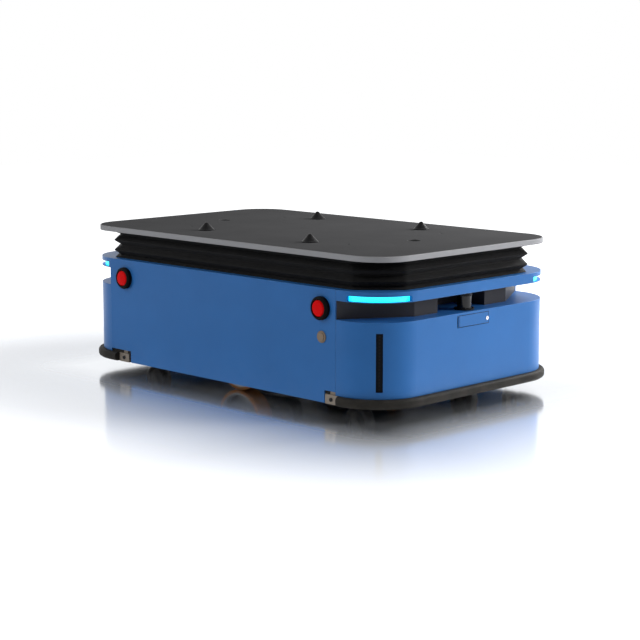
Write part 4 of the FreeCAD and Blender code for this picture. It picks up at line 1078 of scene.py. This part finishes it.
@dataclass
class DriveUnits:
    """Wheel bolts, cooling ribs and suspension springs of the two drive units."""

    bolt: Pair = (0.0042, 0.0034)
    bolt_circle: float = 0.0205
    boss_inset: float = 0.004
    bolt_count: int = 6
    rib_count: int = 11
    rib_proud: float = 0.0015
    rib_width: float = 0.0016
    rib_root: float = 0.001
    motor_radius: float = 0.034
    motor_length: float = 0.062
    spring_wire: float = 0.0022
    spring_turns: float = 4.0

    def bolts(self, name: str, side: float) -> None:
        """Set the hub's bolt circle on its outer face.

        Args:
            name: left or right.
            side: 1 for the left side, -1 for the right.
        """
        low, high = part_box(f"drive_hub_{name}")
        middle = centre_of(f"drive_hub_{name}")
        face = side * ((high[1] if side > 0 else -low[1]) - self.boss_inset)
        spots = []
        for step in range(self.bolt_count):
            turn = 2 * math.pi * step / self.bolt_count
            spots.append(Spot((middle.x + self.bolt_circle * math.cos(turn), face,
                               middle.z + self.bolt_circle * math.sin(turn)), (0.0, side, 0.0)))
        set_screws(f"hub_bolts_{name}", self.bolt, spots, STEEL, f"drive_wheel_{name}", turn=0.0)

    def ribs(self, name: str, side: float) -> None:
        """Ring the drive motor's can with cooling ribs.

        Args:
            name: left or right.
            side: 1 for the left side, -1 for the right.
        """
        low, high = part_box(f"drive_motor_{name}")
        middle = centre_of(f"drive_motor_{name}")
        inner_end = low[1] if side > 0 else high[1]
        pitch = self.motor_length / (self.rib_count + 1)
        spots = [Spot((middle.x, inner_end + side * pitch * (step + 1), middle.z), (0.0, side, 0.0))
                 for step in range(self.rib_count)]
        half = self.rib_width / 2
        root, crown = self.motor_radius - self.rib_root, self.motor_radius + self.rib_proud
        ring = lathe("motor_rib", [(root, -half), (crown, -half), (crown, half), (root, half)], sides=40)
        set_pieces(f"motor_ribs_{name}", ring, spots, MOTOR, f"drive_arm_{name}")

    def spring(self, name: str) -> None:
        """Wind one suspension spring in place of the frame's.

        Args:
            name: left or right.
        """
        node = f"suspension_spring_{name}"
        low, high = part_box(node)
        middle = centre_of(node)
        wire = self.spring_wire
        coil = Coil(self.spring_turns, (high[1] - low[1]) / 2 - wire, high[2] - low[2] - 2 * wire, wire,
                    steps=40, sides=10)
        foot = Spot((middle.x, middle.y, low[2] + wire))
        piece = coil.wind(f"suspension_coil_{name}", [foot], SPRING)
        smooth_by_angle(piece.data, 50.0)
        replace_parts(piece, node)
        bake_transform(piece)

    def build(self) -> None:
        """Build both drive units' fittings."""
        for name, side in (("left", 1.0), ("right", -1.0)):
            self.spring(name)
            self.bolts(name, side)
            self.ribs(name, side)


@dataclass
class Casters:
    """Axle nuts, plate screws and the ball ring of each swivel caster."""

    nut: Pair = (0.0065, 0.003)
    screw: Pair = (0.005, 0.003)
    screw_inset: float = 0.009
    plate_half: float = 0.046
    plate_thickness: float = 0.004
    leg_face: float = 0.02
    ball_radius: float = 0.0014
    ball_circle: float = 0.029
    ball_drop: float = 0.0055
    ball_count: int = 36

    def build(self) -> None:
        """Build the fittings of all four casters."""
        plate_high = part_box("caster_plates")[1]
        x, y = plate_high[0] - self.plate_half, plate_high[1] - self.plate_half
        under = plate_high[2] - self.plate_thickness
        screws, balls = [], []
        for sx, sy in CORNERS:
            reach = self.plate_half - self.screw_inset
            screws += [Spot((sx * x + dx * reach, sy * y + dy * reach, under), (0.0, 0.0, -1.0))
                       for dx, dy in CORNERS]
            level = Vector((sx * x, sy * y, plate_high[2] - self.ball_drop))
            balls += [Spot(place) for place in round_places(level, self.ball_circle, self.ball_count)]
        set_screws("caster_screws", self.screw, screws, BLACK_SCREW, "chassis")
        ball = lathe("caster_ball", [(self.ball_radius * math.sin(t), -self.ball_radius * math.cos(t))
                                     for t in (math.pi * step / 6 for step in range(7))], sides=10)
        set_pieces("caster_balls", ball, balls, STEEL, "chassis", sharp=180.0)
        for number in range(1, 5):
            wheel = centre_of(f"caster_wheel_{number}")
            nuts = [Spot((wheel.x, wheel.y + side * self.leg_face, wheel.z), (0.0, float(side), 0.0))
                    for side in (-1, 1)]
            set_pieces(f"axle_nuts_{number}", hex_nut("axle_nut", *self.nut), nuts, ZINC,
                       f"caster_fork_{number}")


@dataclass
class LiftWorks:
    """Screw threads, belt teeth and fixing screws of the lift."""

    lead: float = 0.01
    starts: float = 2.0
    screw_radius: float = 0.0078
    ridge: float = 0.0005
    foot_gap: float = 0.006
    head_gap: float = 0.003
    tooth_pitch: float = 0.005
    tooth_width: float = 0.0026
    tooth_depth: float = 0.0013
    tooth_gap: float = 0.0006
    belt_inner: float = 0.02
    belt_steps: int = 8
    flange_screw: Pair = (0.0028, 0.0008)
    bush_circle: float = 0.026

    def threads(self) -> None:
        """Wind the thread of each lift screw, on the body that turns with it."""
        for number in range(1, 5):
            middle = centre_of(f"lift_screw_{number}")
            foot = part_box("lift_belt")[1][2] + self.foot_gap
            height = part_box(f"lift_screw_{number}")[1][2] - foot - self.head_gap
            thread = Coil(height / self.lead * self.starts, self.screw_radius, height, self.ridge)
            piece = thread.wind(f"lift_thread_{number}", [Spot((middle.x, middle.y, foot))], STEEL)
            carried(piece, f"screw_{number}")

    def belt_run(self) -> bpy.types.Object:
        """Lay the belt's inner line round the five pulleys as a closed run of edges."""
        motor = centre_of("lift_motor_pulley")
        x, y = centre_of("lift_screw_1").xy
        middles = [Vector(p) for p in ((x, -y), (motor.x, 0), (x, y), (-x, y), (-x, -y))]
        level = centre_of("lift_belt").z
        points = []
        for index, middle in enumerate(middles):
            before, after = middles[index - 1], middles[(index + 1) % len(middles)]
            start = math.atan2(*((middle - before).yx)) - math.pi / 2
            end = math.atan2(*((after - middle).yx)) - math.pi / 2
            sweep = (end - start) % (2 * math.pi)
            for step in range(self.belt_steps + 1):
                turn = start + sweep * step / self.belt_steps
                points.append((middle.x + self.belt_inner * math.cos(turn),
                               middle.y + self.belt_inner * math.sin(turn), level))
        mesh = bpy.data.meshes.new("belt_teeth")
        mesh.from_pydata(points, [(step, (step + 1) % len(points)) for step in range(len(points))], [])
        return mesh_object("belt_teeth", mesh)

    def teeth(self) -> None:
        """Space the belt's teeth along its inner line."""
        low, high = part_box("lift_belt")
        tooth = (self.tooth_width, self.tooth_depth, high[2] - low[2] - self.tooth_gap)
        piece = run_tree(self.belt_run(), REPEATS.teeth, {
            "Pitch": self.tooth_pitch, "Tooth": tooth, "Finish": BELT.material()})
        carried(piece, "chassis")

    def bush_screws(self) -> None:
        """Set four screws into each guide bush's flange."""
        x, y = centre_of("lift_screw_1").xy
        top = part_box("guide_bushes")[1][2]
        spots = [Spot(place) for sx, sy in CORNERS
                 for place in round_places(Vector((sx * x, sy * y, top)), self.bush_circle, 4, math.pi / 4)]
        set_screws("bush_screws", self.flange_screw, spots, STEEL, "chassis")

    def build(self) -> None:
        """Build the lift's details."""
        self.threads()
        self.teeth()
        self.bush_screws()


@dataclass
class InnerUnits:
    """The battery's two terminals and the screws of its lid."""

    terminal_radius: float = 0.009
    terminal_height: float = 0.012
    terminal_spread: float = 0.16
    terminal_inset: float = 0.025
    lid_inset: float = 0.01
    lid_screw: Pair = (0.004, 0.003)

    def build(self) -> None:
        """Build the terminals and the lid's screws."""
        low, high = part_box("battery_pack")
        radius, shoulder = self.terminal_radius, self.terminal_height
        tip = shoulder * 1.4
        post = lathe("terminal", [(0.0, 0.0), (radius, 0.0), (radius * 0.92, shoulder),
                                  (radius * 0.5, shoulder), (radius * 0.45, tip), (0.0, tip)], sides=32)
        spots = [Spot((high[0] - self.terminal_inset, side * self.terminal_spread, high[2]))
                 for side in (-1, 1)]
        set_pieces("battery_terminals", post, spots, BRONZE, "chassis")
        middle = centre_of("battery_pack").x
        reach, side_line = (high[0] - low[0]) / 2 - self.lid_inset, high[1] - self.lid_inset
        lid = [Spot((middle + sx * reach, sy * side_line, high[2])) for sx, sy in CORNERS]
        lid += [Spot((middle + sx * reach, 0.0, high[2])) for sx in (-1, 1)]
        set_screws("battery_lid_screws", self.lid_screw, lid, BLACK_SCREW, "chassis")


@dataclass
class Hatch:
    """The door's hinge and seal, the latch's driver slot, and the contacts behind the door."""

    latch_offset: float = 0.0045
    latch_level: float = 0.207
    slot_length: float = 0.0058
    slot_width: float = 0.0012
    slot_depth: float = 0.0006
    slot_proud: float = 0.00015
    knuckle_radius: float = 0.0009
    knuckle_count: int = 7
    knuckle_margin: float = 0.001
    leaf_width: float = 0.006
    leaf_inset: float = 0.0016
    leaf_margin: float = 0.002
    seal_gap: float = 0.0003
    seal_width: float = 0.0011
    seal_depth: float = 0.0004
    seal_proud: float = 0.00012
    port_places: tuple[Pair, ...] = ((-0.042, 8), (-0.02, 8), (0.008, 5))
    port_depth: float = 0.007
    contact_pitch: float = 0.0017
    contact_row: float = 0.0022

    def slot(self) -> None:
        """Lay the latch's driver slot on its head, with rounded ends."""
        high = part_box("hatch_latch")[1]
        reach, half = self.slot_length / 2 - self.slot_width / 2, self.slot_width / 2
        rim = [(side * reach + half * math.cos(turn), half * math.sin(turn))
               for side, start in ((1, -math.pi / 2), (-1, math.pi / 2))
               for turn in (start + math.pi * step / 6 for step in range(7))]
        middle = high[1] - self.latch_offset
        rings = [[(high[0] + depth, middle + across, self.latch_level + up) for up, across in rim]
                 for depth in (-self.slot_depth, self.slot_proud)]
        plain_piece("latch_slot", skin("latch_slot", rings, capped=True), BLACK, "latch")

    def frame_strip(self, name: str, low: Pair, high: Pair, face: float, finish: Finish, body: str) -> None:
        """Lay a thin rectangular strip with rounded edges on an upright face.

        Args:
            name: The piece's name.
            low: The opening's lowest Y and Z.
            high: Its highest Y and Z.
            face: The X that the strip lies on.
            finish: Its finish.
            body: The body that carries it.
        """
        width, proud = self.seal_width, self.seal_proud
        section = ((0.0, -self.seal_depth), (0.0, proud * 0.6), (width * 0.25, proud), (width * 0.75, proud),
                   (width, proud * 0.6), (width, -self.seal_depth))
        rings = [[(face + depth, y, z) for y, z in (
            (low[0] - out, low[1] - out), (high[0] + out, low[1] - out),
            (high[0] + out, high[1] + out), (low[0] - out, high[1] + out))] for out, depth in section]
        plain_piece(name, skin(name, rings, looped=True), finish, body)

    def hinge(self) -> None:
        """Set the hinge's knuckles up the door's free-standing edge, and its leaf's outline beside them."""
        low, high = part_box("hatch_door")
        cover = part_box("front_cover")[1][0]
        radius = self.knuckle_radius
        pitch = (high[2] - low[2] - 2 * self.knuckle_margin) / self.knuckle_count
        spots = [Spot((cover - radius * 0.2, low[1] - radius, low[2] + self.knuckle_margin + pitch * step))
                 for step in range(self.knuckle_count)]
        barrel = lathe("hinge_knuckle", [(0.0, 0.0), (radius * 0.85, 0.0), (radius, pitch * 0.06),
                                         (radius, pitch * 0.86), (radius * 0.85, pitch * 0.92),
                                         (0.0, pitch * 0.92)], sides=14)
        set_pieces("hatch_hinge", barrel, spots, BLACK_SCREW, "chassis")
        self.frame_strip("hatch_leaf", (low[1] + self.leaf_inset, low[2] + self.leaf_margin),
                         (low[1] + self.leaf_width, high[2] - self.leaf_margin), cover, BLACK_SCREW, "hatch")

    def contacts(self) -> None:
        """Set rows of contacts into the faces of the service box's sockets."""
        low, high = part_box("service_box")
        face, middle = low[0] + self.port_depth, (low[2] + high[2]) / 2
        pitch, reach = self.contact_pitch, self.contact_row
        places = [(face, y + (step - (count / 2 - 0.5)) * pitch, middle + row * reach)
                  for y, count in self.port_places for step in range(int(count)) for row in (-1, 1)]
        spots = [Spot(place, (1.0, 0.0, 0.0)) for place in places]
        pin = lathe("contact", [(0.0, -0.0004), (0.0005, -0.0004), (0.0005, 0.0012), (0.0002, 0.0018),
                                (0.0, 0.0018)], sides=8)
        set_pieces("socket_contacts", pin, spots, BRONZE, "chassis", sharp=60.0)

    def build(self) -> None:
        """Build the hinge, the seal, the latch's slot and the contacts."""
        low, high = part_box("hatch_door")
        gap = self.seal_gap
        self.frame_strip("hatch_seal", (low[1] - gap, low[2] - gap), (high[1] + gap, high[2] + gap),
                         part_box("front_cover")[1][0], BLACK, "chassis")
        self.hinge()
        self.slot()
        self.contacts()


# ---- studio ----------------------------------------------------------------------------------


@dataclass
class Lamp:
    """One soft lamp that faces a point."""

    name: str
    place: Triple
    power: float
    size: float
    aim: Triple = (0.0, 0.0, 0.2)

    def build(self) -> None:
        """Put the lamp into the scene."""
        data = bpy.data.lights.new(self.name, "AREA")
        data.energy, data.size, data.shape = self.power, self.size, "DISK"
        thing = bpy.data.objects.new(self.name, data)
        thing.location = self.place
        thing.rotation_euler = (Vector(self.aim) - Vector(self.place)).to_track_quat("-Z", "Y").to_euler()
        thing.visible_camera = False
        bpy.context.scene.collection.objects.link(thing)


@dataclass
class Studio:
    """A pale floor, soft lamps and the camera."""

    camera_place: Triple = (3.0526, -3.03, 0.8424)
    camera_yaw: float = 135.011
    camera_pitch: float = -9.207
    sensor: float = 36.0
    lens: float = 95.52
    floor_size: float = 14.0
    ambient: float = 0.24
    floor_colour: Colour = (0.84, 0.87, 0.92, 1.0)
    mirror_colour: Colour = (0.95, 0.97, 1.0, 1.0)
    mirror_roughness: float = 0.12
    mirror_share: float = 0.93
    mirror_reach: float = 0.95
    mirror_fall: float = 2.2
    # The floor's glow is zero at the robot, rises to glow by painted_shade_reach and to far_glow by
    # painted_shade_far_reach: a painted shade round the robot.
    glow: float = 0.8
    painted_shade_reach: float = 0.8
    far_glow: float = 1.0
    painted_shade_far_reach: float = 2.4
    lamps: tuple[Lamp, ...] = (
        Lamp("front lamp", (3.1, 2.3, 1.7), 112.0, 1.6),
        Lamp("top lamp", (0.4, 0.8, 2.9), 10.0, 2.2),
        Lamp("side lamp", (-1.4, -3.0, 2.4), 46.0, 2.0),
        Lamp("plate lamp", (0.5, 1.4, 1.0), 24.0, 0.7),
    )

    def camera(self) -> None:
        """Create the camera and look through it."""
        data = bpy.data.cameras.new("camera")
        data.sensor_width, data.lens, data.clip_end = self.sensor, self.lens, 60.0
        thing = bpy.data.objects.new("camera", data)
        thing.location = self.camera_place
        thing.rotation_euler = (math.radians(90 + self.camera_pitch), 0, math.radians(self.camera_yaw - 90))
        bpy.context.scene.collection.objects.link(thing)
        bpy.context.scene.camera = thing

    @staticmethod
    def seen_straight(tree: Tree) -> Socket:
        """Return 1 for rays that show the background: camera, glossy and transmission rays."""
        path = tree.add("ShaderNodeLightPath")
        either = tree.maths("MAXIMUM", path.outputs["Is Camera Ray"], path.outputs["Is Glossy Ray"])
        return tree.maths("MAXIMUM", either, path.outputs["Is Transmission Ray"])

    def world(self) -> None:
        """Light the scene softly from all round, and show plain white behind it."""
        world = bpy.data.worlds.new("world")
        bpy.context.scene.world = world
        world.use_nodes = True
        tree = Tree(world.node_tree)
        strength = tree.spread(self.seen_straight(tree), 0.0, 1.0, self.ambient, 1.0)
        tree.feed(world.node_tree.nodes["Background"].inputs["Strength"], strength)
        world.node_tree.nodes["Background"].inputs["Color"].default_value = (1.0, 1.0, 1.0, 1.0)

    def floor(self) -> None:
        """Lay a pale floor with a soft mirror that keeps the shadow, and a glow that dims towards the robot:
        a painted shade round it.
        """
        half = self.floor_size / 2
        mesh = bpy.data.meshes.new("floor")
        mesh.from_pydata([(-half, -half, 0), (half, -half, 0), (half, half, 0), (-half, half, 0)], [],
                         [(0, 1, 2, 3)])
        thing = mesh_object("floor", mesh)
        material = bpy.data.materials.new("floor")
        material.use_nodes = True
        tree = Tree(material.node_tree)
        for node in list(material.node_tree.nodes):
            material.node_tree.nodes.remove(node)
        away = tree.outside((CAD_BOX[1][0], CAD_BOX[1][1], 1.0))
        base = tree.add("ShaderNodeBsdfDiffuse", {"Color": self.floor_colour})
        # Painted shade: the glow that camera, glossy and transmission rays see fades out towards the robot's
        # footprint, darkening the floor round it on top of its real shadow.
        near = tree.spread(away, 0.0, self.painted_shade_reach, 0.0, self.glow)
        far = tree.spread(away, self.painted_shade_reach, self.painted_shade_far_reach, 0.0, self.far_glow - self.glow)
        lift = tree.maths("MULTIPLY", self.seen_straight(tree), tree.maths("ADD", near, far))
        glow = tree.add("ShaderNodeEmission", {"Color": (1.0, 1.0, 1.0, 1.0), "Strength": lift})
        lit = tree.add("ShaderNodeAddShader", {0: base.outputs[0], 1: glow.outputs[0]})
        mirror = tree.add("ShaderNodeBsdfGlossy", {
            "Color": self.mirror_colour, "Roughness": self.mirror_roughness})
        left = tree.spread(away, 0.0, self.mirror_reach, 1.0, 0.0)
        share = tree.maths("MULTIPLY", tree.maths("POWER", left, self.mirror_fall), self.mirror_share)
        both = tree.add("ShaderNodeMixShader", {0: share, 1: lit.outputs[0], 2: mirror.outputs[0]})
        tree.add("ShaderNodeOutputMaterial", {"Surface": both.outputs[0]})
        mesh.materials.append(material)

    def build(self) -> None:
        """Set the whole studio up."""
        bpy.context.scene.view_settings.view_transform = "Standard"
        self.camera()
        self.world()
        self.floor()
        for lamp in self.lamps:
            lamp.build()


# ---- the robot -------------------------------------------------------------------------------


def dress_nodes() -> None:
    """Give every frame node the finish that its material slot names."""
    for thing in frame["nodes"].values():
        for slot in thing.material_slots:
            slot.material = NODE_FINISHES[slot.material.name.split(".")[0]].material()


def main() -> None:
    """Build the studio and the robot's sub-assemblies in order."""
    logging.basicConfig(level=logging.INFO, format="%(name)s: %(message)s")
    Studio().build()
    dress_nodes()
    for part in (Platform(), Bellows(), Bumpers(), CornerSensors(), Scanners(), Hatch(), DriveUnits(),
                 Casters(), LiftWorks(), InnerUnits()):
        before = set(bpy.data.objects)
        part.build()
        for thing in sorted(set(bpy.data.objects) - before, key=lambda piece: piece.name):
            LOG.info("%s: %s, %d faces", type(part).__name__, thing.name, len(thing.data.polygons))


if __name__ == "__main__":
    main()
